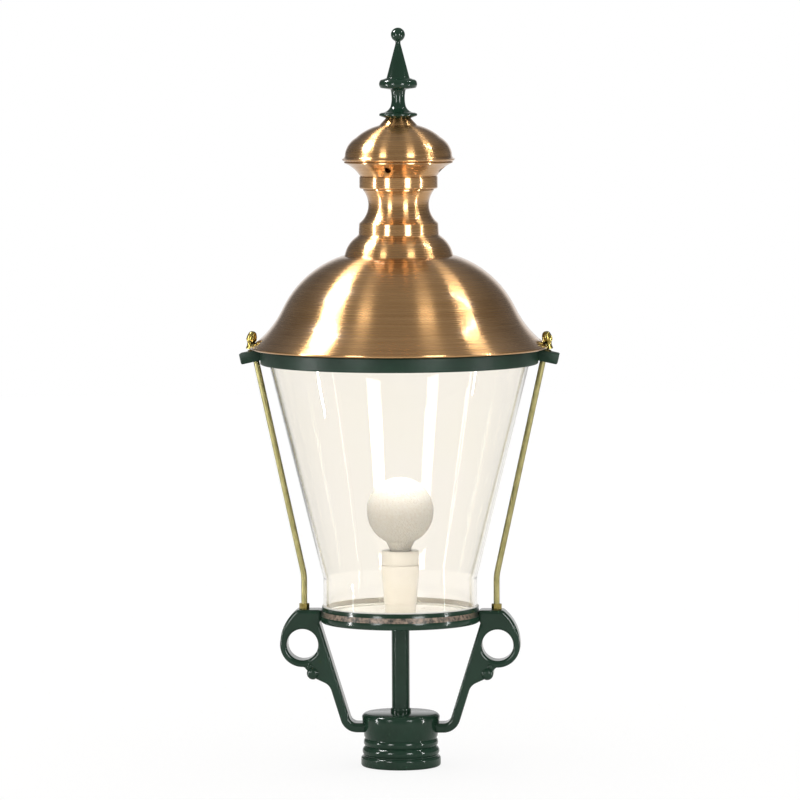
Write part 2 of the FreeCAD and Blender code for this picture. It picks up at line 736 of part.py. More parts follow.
def post_clamp_screws():
    """Two grub screws in the back of the socket, with blind key holes."""
    body = new_body("post_clamp_screws")
    outer = "socket_r - socket_taper - clamp_screw_recess"
    for side, sign in (("right", "-"), ("left", "")):
        screw = body.newObject("PartDesign::AdditiveCylinder", side + "_screw")
        screw.setExpression("Radius", bound("clamp_screw_r"))
        screw.setExpression("Height", bound(f"{outer} - post_bore_r - clamp_screw_recess"))
        place_radially(screw, body, sign, "post_bore_r + clamp_screw_recess")
        key = body.newObject("PartDesign::SubtractiveCylinder", side + "_key")
        key.setExpression("Radius", bound("clamp_screw_key_r"))
        key.setExpression("Height", bound("2 * clamp_screw_key_depth"))
        place_radially(key, body, sign, f"{outer} - clamp_screw_key_depth")
    return body


def gallery_tray():
    """Round tray on the gallery's inner ledge, with vents and a hole for the conduit."""
    body = new_body("gallery_tray")
    turn(body, "plate", [("conduit_r + thread_clearance", "seat_z - tray_t"),
                         ("tray_r", "seat_z - tray_t"), ("tray_r", "seat_z"),
                         ("conduit_r + thread_clearance", "seat_z")])
    vent = draw_circles(new_sketch(body, "vent_outline", "XY_Plane", "seat_z"),
                        [("tray_vent_ring_r", "0", "tray_vent_r")])
    repeat_round(body, "vents", [pocket(body, "vent", vent, "2 * tray_t")], TRAY_VENTS)
    screw = draw_circles(new_sketch(body, "screw_outline", "XY_Plane", "seat_z"),
                         [("0", "tray_screw_ring_r", "tray_screw_r + thread_clearance")])
    repeat_round(body, "screws", [pocket(body, "screw", screw, "2 * tray_t")], TRAY_SCREWS)
    return body


def headed_screws(label, ring_r, shank_r, head_r, seat, length, head_h, count):
    """A ring of round-headed screws that stand on their ends, the first one at the back."""
    body = new_body(label)
    foot = f"{seat} - {length}"
    shank = draw_circles(new_sketch(body, "shank_outline", "XY_Plane", foot),
                         [("0", ring_r, shank_r)])
    shaft = pad(body, "shank", shank, length)
    cap = draw_circles(new_sketch(body, "head_outline", "XY_Plane", seat), [("0", ring_r, head_r)])
    head = pad(body, "head", cap, head_h)
    slot = new_sketch(body, "slot_outline", "XY_Plane", f"{seat} + {head_h}")
    half = f"{head_h} / 4"
    draw(slot, [(f"-({half})", f"{ring_r} - 2 * {head_r}"), (half, f"{ring_r} - 2 * {head_r}"),
                (half, f"{ring_r} + 2 * {head_r}"), (f"-({half})", f"{ring_r} + 2 * {head_r}")])
    cut = pocket(body, "slot", slot, f"{head_h} / 2")
    repeat_round(body, "all_screws", [shaft, head, cut], count)
    return body


def stem_tube():
    """Sleeve that stands on the socket and carries the tray."""
    return ring("stem_tube", "stem_r - stem_wall", "stem_r", "socket_h",
                "(seat_z - tray_t - socket_h)")


def stem_foot_collar():
    """Rounded collar round the foot of the stem."""
    body = new_body("stem_foot_collar")
    turn(body, "collar", [
        ("stem_r + thread_clearance", "socket_h"), ("collar_r", "socket_h"),
        ("collar_r", "socket_h + collar_h - collar_r + stem_r", "collar_r - stem_r"),
        ("stem_r + thread_clearance", "socket_h + collar_h"),
    ])
    return body


def conduit():
    """Threaded tube from the socket's roof to the lampholder, for the supply wires."""
    return ring("conduit", "conduit_bore_r", "conduit_r", "post_bore_depth + conduit_foot_gap",
                "(conduit_top_z - post_bore_depth - conduit_foot_gap)")


def hex_nut(label, across_flats, bore, low_z, height, x_text="0"):
    """A hexagon nut, flats to the front and back."""
    body = new_body(label)
    sketch = new_sketch(body, "hexagon", "XY_Plane", low_z)
    side = f"{across_flats} / 2 * tan(30)"
    corner = f"{across_flats} / 2 / cos(30)"
    half = f"{across_flats} / 2"
    corners = [(side, f"-({half})"), (corner, "0"), (side, half),
               (f"-({side})", half), (f"-({corner})", "0"), (f"-({side})", f"-({half})")]
    draw(sketch, corners)
    pad(body, "blank", sketch, height)
    hole = draw_circles(new_sketch(body, "bore_outline", "XY_Plane", f"{low_z} + {height}"),
                        [("0", "0", bore)])
    pocket(body, "bore", hole, f"2 * {height}")
    if x_text != "0":
        body.setExpression("Placement.Base.x", bound(x_text))
    return body


def cable_bush():
    """Soft lining in the conduit's mouth, with a flange under the socket's roof."""
    body = new_body("cable_bush")
    foot = "post_bore_depth + conduit_foot_gap"
    turn(body, "lining", [
        ("bush_bore_r", foot), ("bush_r", foot), ("bush_r", f"{foot} + bush_length"),
        ("bush_bore_r", f"{foot} + bush_length"),
    ])
    return body


# ---------------------------------------------------------------- lampholder and bulb


def lampholder_base():
    """Cup that screws on the conduit and carries the lampholder."""
    body = new_body("lampholder_base")
    turn(body, "cup", [
        ("holder_base_r - holder_wall", "seat_z"), ("holder_base_r", "seat_z"),
        ("holder_base_r", HOLDER_Z), ("conduit_r + thread_clearance", HOLDER_Z),
        ("conduit_r + thread_clearance", f"{HOLDER_Z} - holder_wall"),
        ("holder_base_r - holder_wall", f"{HOLDER_Z} - holder_wall"),
    ])
    return body


def lampholder_body():
    """Tapered outer shell of the lampholder."""
    body = new_body("lampholder_body")
    turn(body, "shell", [
        ("holder_wire_r", HOLDER_Z), ("holder_foot_r", HOLDER_Z), ("holder_top_r", RING_Z),
        ("holder_top_r - 2 * holder_wall", RING_Z),
        ("holder_foot_r - holder_wall", f"{HOLDER_Z} + holder_wall"),
        ("holder_wire_r", f"{HOLDER_Z} + holder_wall"),
    ])
    return body


def lampholder_ring():
    """Screwed ring that closes the top of the lampholder."""
    body = new_body("lampholder_ring")
    edge = "holder_wall / 2"
    turn(body, "ring", [
        ("holder_ring_bore_r", RING_Z), ("holder_ring_r", RING_Z),
        ("holder_ring_r", f"{RING_Z} + holder_ring_h - {edge}", edge),
        (f"holder_ring_r - {edge}", f"{RING_Z} + holder_ring_h"),
        ("holder_ring_bore_r", f"{RING_Z} + holder_ring_h"),
    ])
    return body


def lampholder_insert():
    """Ceramic core with a wire passage; the screw shell stands on its step."""
    body = new_body("lampholder_insert")
    top = f"{INSERT_Z} + insert_h"
    turn(body, "core", [
        ("holder_wire_r / 2", INSERT_Z), ("insert_r", INSERT_Z),
        ("insert_r", f"{top} - insert_step_h"), ("insert_step_r", f"{top} - insert_step_h"),
        ("insert_step_r", top), ("holder_wire_r / 2", top),
    ])
    return body


def lampholder_contact():
    """Centre contact on top of the core."""
    body = new_body("lampholder_contact")
    turn(body, "button", [
        ("0", CONTACT_Z), ("contact_r", CONTACT_Z),
        ("contact_r", f"{CONTACT_Z} + contact_h"), ("0", f"{CONTACT_Z} + contact_h"),
    ])
    return body


def bulb_tip_contact():
    """Solder tip under the bulb's cap."""
    body = new_body("bulb_tip_contact")
    turn(body, "tip", [
        ("0", TIP_Z), ("bulb_tip_r - bulb_tip_h / 2", TIP_Z, "bulb_tip_h"),
        ("bulb_tip_r", f"{TIP_Z} + bulb_tip_h"), ("0", f"{TIP_Z} + bulb_tip_h"),
    ])
    return body


def bulb_cap():
    """Screw cap of the bulb, a thin cup."""
    body = new_body("bulb_cap")
    turn(body, "cup", [
        ("0", CAP_Z), ("cap_foot_r", CAP_Z), ("cap_r", f"{CAP_Z} + cap_foot_h"),
        ("cap_r", f"{CAP_Z} + cap_h"), ("cap_r - cap_wall", f"{CAP_Z} + cap_h"),
        ("cap_r - cap_wall", f"{CAP_Z} + cap_foot_h"),
        ("cap_foot_r", f"{CAP_Z} + cap_wall"), ("0", f"{CAP_Z} + cap_wall"),
    ])
    return body


def bulb_globe():
    """Glass globe whose neck runs down into the cap."""
    body = new_body("bulb_globe")
    tail = f"{CAP_Z} + cap_h - globe_tail_h"
    neck = f"{CAP_Z} + cap_h + globe_neck_gap"
    outer_join = "(globe_z - sqrt(globe_r ^ 2 - globe_neck_r ^ 2))"
    inner_join = "(globe_z - sqrt((globe_r - globe_wall) ^ 2 - (globe_neck_r - globe_wall) ^ 2))"
    turn(body, "glass", [
        ("globe_tail_r - globe_wall", tail), ("globe_tail_r", tail), ("globe_tail_r", neck),
        ("globe_neck_r", outer_join, "globe_r"), ("globe_r", "globe_z", "globe_r"),
        ("0", "globe_z + globe_r"),
        ("0", "globe_z + globe_r - globe_wall", "-(globe_r - globe_wall)"),
        ("globe_r - globe_wall", "globe_z", "-(globe_r - globe_wall)"),
        ("globe_neck_r - globe_wall", inner_join), ("globe_tail_r - globe_wall", neck),
    ])
    return body


def bulb_mount():
    """Glass foot that holds the filament, seated in the globe's tail."""
    body = new_body("bulb_mount")
    tail = f"{CAP_Z} + cap_h - globe_tail_h"
    skirt = "globe_tail_r - globe_wall - mount_clearance"
    turn(body, "foot", [
        ("0", tail), (skirt, tail), (skirt, f"{tail} + globe_wall"),
        ("mount_foot_r / 2", f"{tail} + 2 * globe_wall"), ("mount_r", "mount_top_z - mount_foot_r"),
        ("mount_r", "mount_top_z"), ("0", "mount_top_z"),
    ])
    return body


# ---------------------------------------------------------------- glass and tie rods


def glass_shade():
    """Clear shade: a straight skirt in the gallery, then a cone up to the crown ring."""
    body = new_body("glass_shade")
    skirt = f"{GLASS_Z} + glass_skirt_h"
    turn(body, "wall", [
        ("glass_foot_r - glass_wall", GLASS_Z), ("glass_foot_r", GLASS_Z), ("glass_foot_r", skirt),
        ("glass_top_r", GLASS_TOP_Z), ("glass_top_r - glass_wall", GLASS_TOP_Z),
        ("glass_foot_r - glass_wall", skirt),
    ])
    return body


def glass_gaskets():
    """Flat rings under the glass and over its top edge."""
    ring("glass_seat_gasket", "gasket_inner_r", "glass_foot_r + glass_clearance / 2", "seat_z",
         "gasket_t")
    ring("glass_top_gasket", "glass_top_r - top_gasket_w", "glass_top_r + glass_clearance",
         GLASS_TOP_Z, "gasket_t")


def tie_rod(side):
    """Round rod: upright through the ear, then bent outwards beside the glass."""
    body = new_body(side + "_tie_rod")
    sign = "" if side == "right" else "-"
    foot = draw_circles(new_sketch(body, "section", "XY_Plane", "rod_foot_z"),
                        [(sign + "rod_x", "0", "rod_r")])
    tangent = "rod_bend_r * tan(rod_lean / 2)"
    route = draw(new_sketch(body, "route", "XZ_Plane"), [
        (sign + "rod_x", "rod_foot_z"),
        (sign + "rod_x", f"rod_bend_z - {tangent}", ("-" if sign == "" else "") + "rod_bend_r"),
        (f"{sign}(rod_x + {tangent} * sin(rod_lean))", f"rod_bend_z + {tangent} * cos(rod_lean)"),
        (f"{sign}(rod_x + {ROD_END_S} * sin(rod_lean))",
         f"rod_bend_z + {ROD_END_S} * cos(rod_lean)"),
    ], closed=False)
    pipe = body.newObject("PartDesign::AdditivePipe", "rod")
    pipe.Profile = foot
    pipe.Spine = (route, ["Edge1", "Edge2", "Edge3"])
    return body


# ---------------------------------------------------------------- crown ring and thumb nuts


def lug_point(sign, along, across):
    """A point of a lug's side view: along the lug from the rod's axis, across its thickness."""
    x_text = f"{sign}({LUG_X} + ({along}) * cos(rod_lean) + ({across}) * sin(rod_lean))"
    return x_text, f"{LUG_Z} - ({along}) * sin(rod_lean) + ({across}) * cos(rod_lean)"


def crown_ring():
    """Cast ring on top of the glass: hoop, flange, hood spigot and two forked lugs."""
    body = new_body("crown_ring")
    hoop_low, hoop_top = f"{FLANGE_Z} - hoop_drop", f"{FLANGE_Z} + hoop_rise"
    spigot_top = (f"({FLARE_Z} - sqrt((flare_r + hood_wall) ^ 2 - ({FLARE_X} - spigot_r) ^ 2)"
                  " - spigot_gap)")
    turn(body, "hoop", [
        ("hoop_inner_r", hoop_low), ("hoop_r - hoop_edge", hoop_low, "hoop_edge"),
        ("hoop_r", f"{hoop_low} + hoop_edge"), ("hoop_r", f"{hoop_top} - hoop_edge", "hoop_edge"),
        ("hoop_r - hoop_edge", hoop_top), ("hoop_inner_r", hoop_top),
        ("hoop_inner_r", BRIDGE_Z), ("spigot_r", BRIDGE_Z), ("spigot_r", spigot_top),
        ("spigot_r - spigot_wall", spigot_top), ("spigot_r - spigot_wall", BRIDGE_Z),
        ("flange_inner_r", BRIDGE_Z), ("flange_inner_r", FLANGE_Z), ("hoop_inner_r", FLANGE_Z),
    ])
    for side, sign in (("right", ""), ("left", "-")):
        turn_sign = "" if sign == "" else "-"
        outline = [
            lug_point(sign, "-lug_root", "-lug_t / 2"),
            lug_point(sign, "lug_reach - lug_corner_r", "-lug_t / 2")
            + (turn_sign + "lug_corner_r",),
            lug_point(sign, "lug_reach", "lug_corner_r - lug_t / 2"),
            lug_point(sign, "lug_reach", "lug_t / 2"),
            lug_point(sign, "-lug_root", "lug_t / 2"),
        ]
        lug = draw(new_sketch(body, side + "_lug_outline", "XZ_Plane"), outline)
        pad(body, side + "_lug", lug, "lug_width", middle=True)
        square = new_sketch(body, side + "_fork_outline", "XY_Plane",
                            along=(sign + LUG_X, LUG_Z, sign + "rod_lean"))
        draw_open_slot(square, sign, "0", "fork_r", "2 * lug_reach")
        pocket(body, side + "_fork", square, "2 * lug_t", middle=True)
    bridge_screw_holes(body, f"{BRIDGE_Z}", "2 * flange_t", "bridge_screw_r + thread_clearance")
    return body


def bridge_screw_holes(body, top_z, depth, radius):
    """Two holes for the bridge bar's screws, front and back."""
    at = "((flange_inner_r + spigot_r - spigot_wall) / 2)"
    sketch = new_sketch(body, "screw_outline", "XY_Plane", top_z)
    draw_circles(sketch, [("0", at, radius), ("0", f"-{at}", radius)])
    return pocket(body, "screw_holes", sketch, depth)


def knob_washer(side):
    """Flat washer between the lug and the thumb nut."""
    body = ring(side + "_knob_washer", "rod_r + rod_clearance", "washer_r", "0", "washer_t")
    on_rod(body, side, WASHER_S)
    return body


def knob(side):
    """Fluted thumb nut, blind at the top, that screws down on the rod's end."""
    body = new_body(side + "_knob")
    dome_rise = ("((knob_h ^ 2 - knob_r ^ 2 - knob_belly_h ^ 2)"
                 " / (2 * (knob_h - knob_belly_h)))")
    turn(body, "blank", [
        ("0", "0"), ("knob_foot_r", "0"), ("knob_foot_r", "knob_foot_h"),
        ("knob_waist_r", "knob_waist_h", "-knob_swell_r"),
        ("knob_r", "knob_belly_h", f"(knob_h - {dome_rise})"), ("0", "knob_h"),
    ])
    flute = body.newObject("PartDesign::SubtractiveCylinder", "flute")
    flute.setExpression("Radius", bound("knob_flute_r"))
    flute.setExpression("Height", bound("knob_h"))
    flute.AttachmentSupport = (datum(body, "XY_Plane"), "")
    flute.MapMode = "FlatFace"
    flute.setExpression("AttachmentOffset.Base.x", bound("knob_r + knob_flute_r / 2"))
    flute.setExpression("AttachmentOffset.Base.z", bound("knob_waist_h"))
    repeat_round(body, "flutes", [flute], KNOB_FLUTES)
    bore = body.newObject("PartDesign::SubtractiveCylinder", "bore")
    bore.setExpression("Radius", bound("rod_r + rod_clearance"))
    bore.setExpression("Height", bound("knob_bore_depth"))
    on_rod(body, side, KNOB_S)
    return body


# ---------------------------------------------------------------- spun copper hood


def hood_dome():
    """Bell-shaped hood that hangs over the crown ring, with a rolled lip."""
    top, waist = "dome_top_lean", "dome_waist_lean"
    top_x = "(dome_centre_r + dome_r * cos(dome_top_lean))"
    waist_x = "(dome_centre_r + dome_r * cos(dome_waist_lean))"
    waist_z = "(dome_centre_z + dome_r * sin(dome_waist_lean))"
    lip_x = f"({FLARE_X} - flare_r * cos(lip_lean))"
    lip_z = f"({FLARE_Z} - flare_r * sin(lip_lean))"
    body = spun_shell("hood_dome", [
        ("dome_hole_r", HOOD_TOP_Z, "90", None),
        (top_x, HOOD_TOP_Z, top, "-dome_r"),
        (waist_x, waist_z, waist, "flare_r"),
        (lip_x, lip_z, "lip_lean", None),
    ])
    roll = body.newObject("PartDesign::AdditiveTorus", "rolled_lip")
    roll.setExpression("Radius1", bound(f"{lip_x} - lip_r * cos(lip_lean)"))
    roll.setExpression("Radius2", bound("lip_r"))
    roll.AttachmentSupport = (datum(body, "XY_Plane"), "")
    roll.MapMode = "FlatFace"
    roll.setExpression("AttachmentOffset.Base.z", bound(f"{lip_z} - lip_r * sin(lip_lean)"))
    for side, sign in (("right", ""), ("left", "-")):
        notch = new_sketch(body, side + "_notch_outline", "XY_Plane", HOOD_TOP_Z)
        draw_open_slot(notch, sign, "notch_x", "notch_r", "2 * notch_r")
        pocket(body, side + "_notch", notch, "dome_r")
    return body


def chimney_base():
    """Ogee foot and plain band on top of the dome."""
    ogee_z = f"{HOOD_TOP_Z} + base_ogee_h"
    return spun_shell("chimney_base", [
        ("base_hole_r", NECK_Z, "90", None),
        ("base_top_r - base_edge", NECK_Z, "90", "-base_edge"),
        ("base_top_r", f"{NECK_Z} - base_edge", "0", None),
        ("base_band_r", f"{ogee_z} + 2 * hood_wall", "0", None),
        ("base_ogee_r", ogee_z, "base_ogee_lean", "-base_bow_r"),
        ("base_foot_r - hood_wall", f"{HOOD_TOP_Z} + 2 * hood_wall", "base_foot_lean", None),
        ("base_foot_r", HOOD_TOP_Z, "0", None),
    ])


def chimney_neck():
    """Waisted neck between the two bands."""
    return spun_shell("chimney_neck", [
        ("neck_top_r", CUP_Z, "0", None),
        ("neck_top_r", f"{CUP_Z} - neck_bead_h", "0", "neck_hollow_r"),
        ("neck_foot_r", NECK_Z, "0", None),
    ])


def chimney_cup():
    """Plain band that opens into a flared cup, with small vents round the flare."""
    body = spun_shell("chimney_cup", [
        ("cup_rim_r", HOOD_CAP_Z, "0", "cup_flare_r"),
        ("cup_band_r", f"{CUP_Z} + cup_band_h", "0", None),
        ("cup_band_r", f"{CUP_Z} + cup_edge", "0", "-cup_edge"),
        ("cup_band_r - cup_edge", CUP_Z, "-90", None),
        ("cup_hole_r", CUP_Z, "-90", None),
    ])
    vent = body.newObject("PartDesign::SubtractiveCylinder", "vent")
    vent.setExpression("Radius", bound("vent_r"))
    vent.setExpression("Height", bound("cup_rim_r"))
    level = FreeCAD.Rotation(FreeCAD.Vector(1, 0, 0), 90)
    swung = FreeCAD.Rotation(FreeCAD.Vector(0, 0, 1), number("-vent_turn_lean"))
    vent.AttachmentSupport = (datum(body, "XY_Plane"), "")
    vent.MapMode = "FlatFace"
    vent.AttachmentOffset = FreeCAD.Placement(FreeCAD.Vector(), swung * level)
    vent.setExpression("AttachmentOffset.Base.z", bound("vent_z"))
    repeat_round(body, "vents", [vent], CUP_VENTS)
    return body


def chimney_cap():
    """Domed cap with a beaded rim and a hollow throat under the finial."""
    return spun_shell("chimney_cap", [
        ("stud_r + stud_hole_gap", FINIAL_Z, "90", None),
        ("cap_top_r", FINIAL_Z, "cap_top_lean", "cap_throat_r"),
        ("cap_shoulder_r", f"{HOOD_CAP_Z} + cap_shoulder_h", "cap_shoulder_lean", "-cap_dome_r"),
        ("cap_side_r", f"{HOOD_CAP_Z} + cap_side_h", "cap_side_lean", None),
        ("cap_side_r", f"{HOOD_CAP_Z} + cap_rim_h + 2 * hood_wall", "cap_rim_lean", None),
        ("cap_rim_r", f"{HOOD_CAP_Z} + cap_rim_h", "cap_rim_lean", None),
        ("cap_rim_r", HOOD_CAP_Z, "0", None),
    ])


# ---------------------------------------------------------------- finial and its long stud


def finial():
    """Cast finial: two discs on a stem, a tall cone and a ball, tapped from below."""
    body = new_body("finial")

    def up(text):
        return f"{FINIAL_Z} + {text}"

    ball_root = "(finial_ball_h - sqrt(finial_ball_r ^ 2 - finial_neck_r ^ 2))"
    plate_top = "(finial_plate_h + finial_plate_t / 2)"
    plate_low = "(finial_plate_h - finial_plate_t / 2)"
    turn(body, "casting", [
        ("stud_r + thread_clearance", FINIAL_Z), ("cap_top_r", FINIAL_Z),
        ("finial_disc_r", up("finial_disc_h")),
        ("finial_disc_r", up("finial_disc_h + finial_disc_t")),
        ("finial_disc_r - finial_disc_t", up("finial_disc_h + 1.5 * finial_disc_t"),
         "-finial_cove_r"),
        ("finial_stem_r", up("finial_stem_low_h"), "-finial_stem_bow_r"),
        ("finial_stem_r", up("finial_stem_top_h")),
        ("finial_plate_r - finial_disc_t", up(plate_low), "finial_plate_bow_r"),
        ("finial_plate_r - finial_disc_t", up(plate_top)),
        ("finial_cone_r", up("finial_cone_h")), ("finial_neck_r", up("finial_neck_h")),
        ("finial_neck_r", up(ball_root), "finial_ball_r"),
        ("0", up("finial_ball_h + finial_ball_r")), ("0", up("finial_tap_h")),
        ("stud_r + thread_clearance", up("finial_tap_h")),
    ])
    return body


def long_stud():
    """Threaded stud from under the bridge bar, through the hood, into the finial."""
    body = new_body("long_stud")
    foot = f"{BRIDGE_Z} - stud_drop"
    turn(body, "rod", [
        ("0", foot), ("stud_r", foot), ("stud_r", f"{FINIAL_Z} + finial_tap_h - stud_r"),
        ("0", f"{FINIAL_Z} + finial_tap_h - stud_r"),
    ])
    return body


def bridge_bar():
    """Flat bar across the crown ring that the stud pulls against."""
    body = new_body("bridge_bar")
    half = "sqrt((spigot_r - spigot_wall - bridge_end_gap) ^ 2 - (bridge_w / 2) ^ 2)"
    sketch = new_sketch(body, "bar_outline", "XY_Plane", BRIDGE_Z)
    draw(sketch, [("-bridge_w / 2", f"-{half}"), ("bridge_w / 2", f"-{half}"),
                  ("bridge_w / 2", half), ("-bridge_w / 2", half)])
    pad(body, "bar", sketch, "bridge_t")
    top = f"{BRIDGE_Z} + bridge_t"
    hole = draw_circles(new_sketch(body, "stud_outline", "XY_Plane", top),
                        [("0", "0", "stud_r + stud_hole_gap")])
    pocket(body, "stud_hole", hole, "2 * bridge_t")
    bridge_screw_holes(body, top, "2 * bridge_t", "bridge_screw_r + thread_clearance")
    return body


# ---------------------------------------------------------------- the whole lantern


def main():
    """Builds every piece, checks it, and writes one STEP file for each."""
    cast_frame()
    post_clamp_screws()
    gallery_tray()
    headed_screws("tray_screws", "tray_screw_ring_r", "tray_screw_r", "tray_screw_head_r",
                  "seat_z", "tray_screw_length", "tray_screw_head_h", TRAY_SCREWS)
    stem_tube()
    stem_foot_collar()
    conduit()
    hex_nut("conduit_nut", "conduit_nut_af", "conduit_r + thread_clearance", "seat_z",
            "conduit_nut_h")
    cable_bush()
    lampholder_base()
    lampholder_body()
    lampholder_ring()
    lampholder_insert()
    ring("lampholder_screw_shell", "shell_bore_r", "shell_r",
         f"{CONTACT_Z} - insert_step_h", "shell_h")
    lampholder_contact()
    bulb_tip_contact()
    bulb_cap()
    bulb_globe()
    bulb_mount()
    glass_shade()
    glass_gaskets()
    crown_ring()
    bridge_bar()
    headed_screws("bridge_screws", "((flange_inner_r + spigot_r - spigot_wall) / 2)",
                  "bridge_screw_r", "bridge_screw_head_r", f"({BRIDGE_Z} + bridge_t)",
                  "(bridge_t + flange_t)", "bridge_screw_head_h", 2)
    for side, sign in (("left", "-"), ("right", "")):
        tie_rod(side)
        hex_nut(side + "_rod_nut", "rod_nut_af", "rod_r + rod_clearance", "ear_top_z",
                "rod_nut_h", sign + "rod_x")
        knob_washer(side)
        knob(side)
    hood_dome()
    chimney_base()
    chimney_neck()
    chimney_cup()
    chimney_cap()
    finial()
    long_stud()
    hex_nut("stud_nut", "stud_nut_af", "stud_r + thread_clearance", f"{BRIDGE_Z} - stud_nut_h",
            "stud_nut_h")
    doc.recompute()
    check_document()
    write_pieces()


def check_document():
    """Stops if any feature failed, any cut removed nothing, or any piece is unsound."""
    for item in doc.Objects:
        if "Invalid" in item.State or "Error" in item.State:
            raise RuntimeError(f"{item.Label} ({item.TypeId}) failed: {item.State}")
        cuts = ("Pocket", "Groove", "Subtractive")
        if item.TypeId.startswith("PartDesign::") and any(cut in item.TypeId for cut in cuts):
            if item.Shape.Volume > item.BaseFeature.Shape.Volume - 0.01:
                raise RuntimeError(f"{item.Label} cuts nothing")
        if item.TypeId == "PartDesign::Body":
            if item.Shape.isNull() or not item.Shape.isValid() or not item.Shape.Solids:
                raise RuntimeError(f"{item.Label} is not a sound solid")


def write_pieces():
    """Writes parts/LABEL.step for each body."""
    os.makedirs("parts", exist_ok=True)
    for item in doc.Objects:
        if item.TypeId == "PartDesign::Body":
            item.Shape.exportStep(f"parts/{item.Label}.step")
            box = item.Shape.BoundBox
            print(f"{item.Label}: {len(item.Shape.Solids)} solid(s), {item.Shape.Volume:.0f} mm3,"
                  f" z {box.ZMin:.1f} to {box.ZMax:.1f}")


main()
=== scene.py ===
"""Post top lantern: its looks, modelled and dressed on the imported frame.

Sizes are written in millimetres and turned to metres where a mesh is made. The frame has +Z up
the post and the tie rods in the XZ plane, and the lantern's front looks along -Y.
"""

import logging
import math
from dataclasses import dataclass
from enum import Enum
from itertools import product
from typing import Any, Iterable, Optional, Sequence, Union

import bpy
from mathutils import Matrix, Vector


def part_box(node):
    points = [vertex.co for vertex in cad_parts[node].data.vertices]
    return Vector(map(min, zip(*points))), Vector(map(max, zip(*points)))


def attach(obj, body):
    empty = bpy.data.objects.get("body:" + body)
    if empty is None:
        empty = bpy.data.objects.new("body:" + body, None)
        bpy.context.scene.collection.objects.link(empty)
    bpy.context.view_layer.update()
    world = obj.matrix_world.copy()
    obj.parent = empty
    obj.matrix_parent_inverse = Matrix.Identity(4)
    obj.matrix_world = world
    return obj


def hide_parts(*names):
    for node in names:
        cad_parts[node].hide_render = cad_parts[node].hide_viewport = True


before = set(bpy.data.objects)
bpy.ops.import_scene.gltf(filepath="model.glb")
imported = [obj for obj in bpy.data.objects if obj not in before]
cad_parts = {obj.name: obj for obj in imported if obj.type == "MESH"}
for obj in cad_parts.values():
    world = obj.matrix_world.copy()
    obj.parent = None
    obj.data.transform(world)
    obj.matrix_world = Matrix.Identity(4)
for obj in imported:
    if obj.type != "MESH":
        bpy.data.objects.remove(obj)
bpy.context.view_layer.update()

MM = 0.001
log = logging.getLogger("post_top_lantern")

Point = Union[tuple[float, float], tuple[float, float, float]]
Outline = tuple[Point, ...]
Socket = bpy.types.NodeSocket

MERGE_M = 1e-6  # corners closer than this are one corner
THROUGH = 60.0  # depth in mm of a cut that goes right through a casting or a sheet


class Side(Enum):
    """The two sides of the lantern, each with the sign of its X."""

    LEFT = -1
    RIGHT = 1


# ------------------------------------------------------------------ modelling moves


def linear(hex_colour: str) -> tuple[float, float, float, float]:
    """Turns an sRGB hex colour to linear light.

    Args:
        hex_colour: Six hex digits, such as "B37F55".

    Returns:
        Red, green, blue and an alpha of 1.
    """
    channels = [int(hex_colour[place:place + 2], 16) / 255 for place in (0, 2, 4)]
    curve = [c / 12.92 if c <= 0.04045 else ((c + 0.055) / 1.055) ** 2.4 for c in channels]
    return (curve[0], curve[1], curve[2], 1.0)


def trace(points: Sequence[Point], step: float = 5.0) -> list[tuple[float, float]]:
    """Works out the corners of an outline, with its round stretches divided evenly.

    Args:
        points: Corners in mm. A third number makes the stretch to the next corner an arc of
            that radius, which turns left where the number is positive.
        step: Largest turn of one division, in degrees.

    Returns:
        The corners in mm.
    """
    corners: list[tuple[float, float]] = []
    for here, after in zip(points, list(points[1:]) + [points[0]]):
        corners.append((here[0], here[1]))
        if len(here) < 3:
            continue
        start, end, radius = Vector(here[:2]), Vector(after[:2]), here[2]
        chord = end - start
        rise = math.sqrt(max(radius * radius - chord.length_squared / 4, 0.0))
        left = Vector((-chord.y, chord.x)).normalized()
        centre = (start + end) / 2 + left * math.copysign(rise, radius)
        turn = 2 * math.asin(min(chord.length / 2 / abs(radius), 1.0))
        count = max(2, math.ceil(math.degrees(turn) / step))
        for part in range(1, count):
            angle = math.copysign(turn * part / count, radius)
            spoke = Matrix.Rotation(angle, 2) @ (start - centre)
            corners.append(tuple(centre + spoke))
    return corners


def raise_by(points: Iterable[Point], rise: float) -> list[Point]:
    """Moves an outline up by a number of mm."""
    return [(point[0], point[1] + rise) + tuple(point[2:]) for point in points]


def clear_selection() -> None:
    """Leaves edit mode and deselects everything."""
    if bpy.context.object and bpy.context.object.mode != "OBJECT":
        bpy.ops.object.mode_set(mode="OBJECT")
    bpy.ops.object.select_all(action="DESELECT")


def make_active(piece: bpy.types.Object) -> None:
    """Selects one piece alone and makes it the active one.

    Args:
        piece: The piece to select.
    """
    clear_selection()
    piece.select_set(True)
    bpy.context.view_layer.objects.active = piece


def edit_all(piece: bpy.types.Object) -> None:
    """Opens a piece in edit mode with all of its mesh selected.

    Args:
        piece: The piece to open.
    """
    make_active(piece)
    bpy.ops.object.mode_set(mode="EDIT")
    bpy.ops.mesh.select_all(action="SELECT")


def tidy_mesh(piece: bpy.types.Object) -> None:
    """Merges the doubles of a mesh and points its faces outwards.

    Args:
        piece: The piece to change.
    """
    edit_all(piece)
    bpy.ops.mesh.remove_doubles(threshold=MERGE_M)
    bpy.ops.mesh.normals_make_consistent(inside=False)
    bpy.ops.object.mode_set(mode="OBJECT")


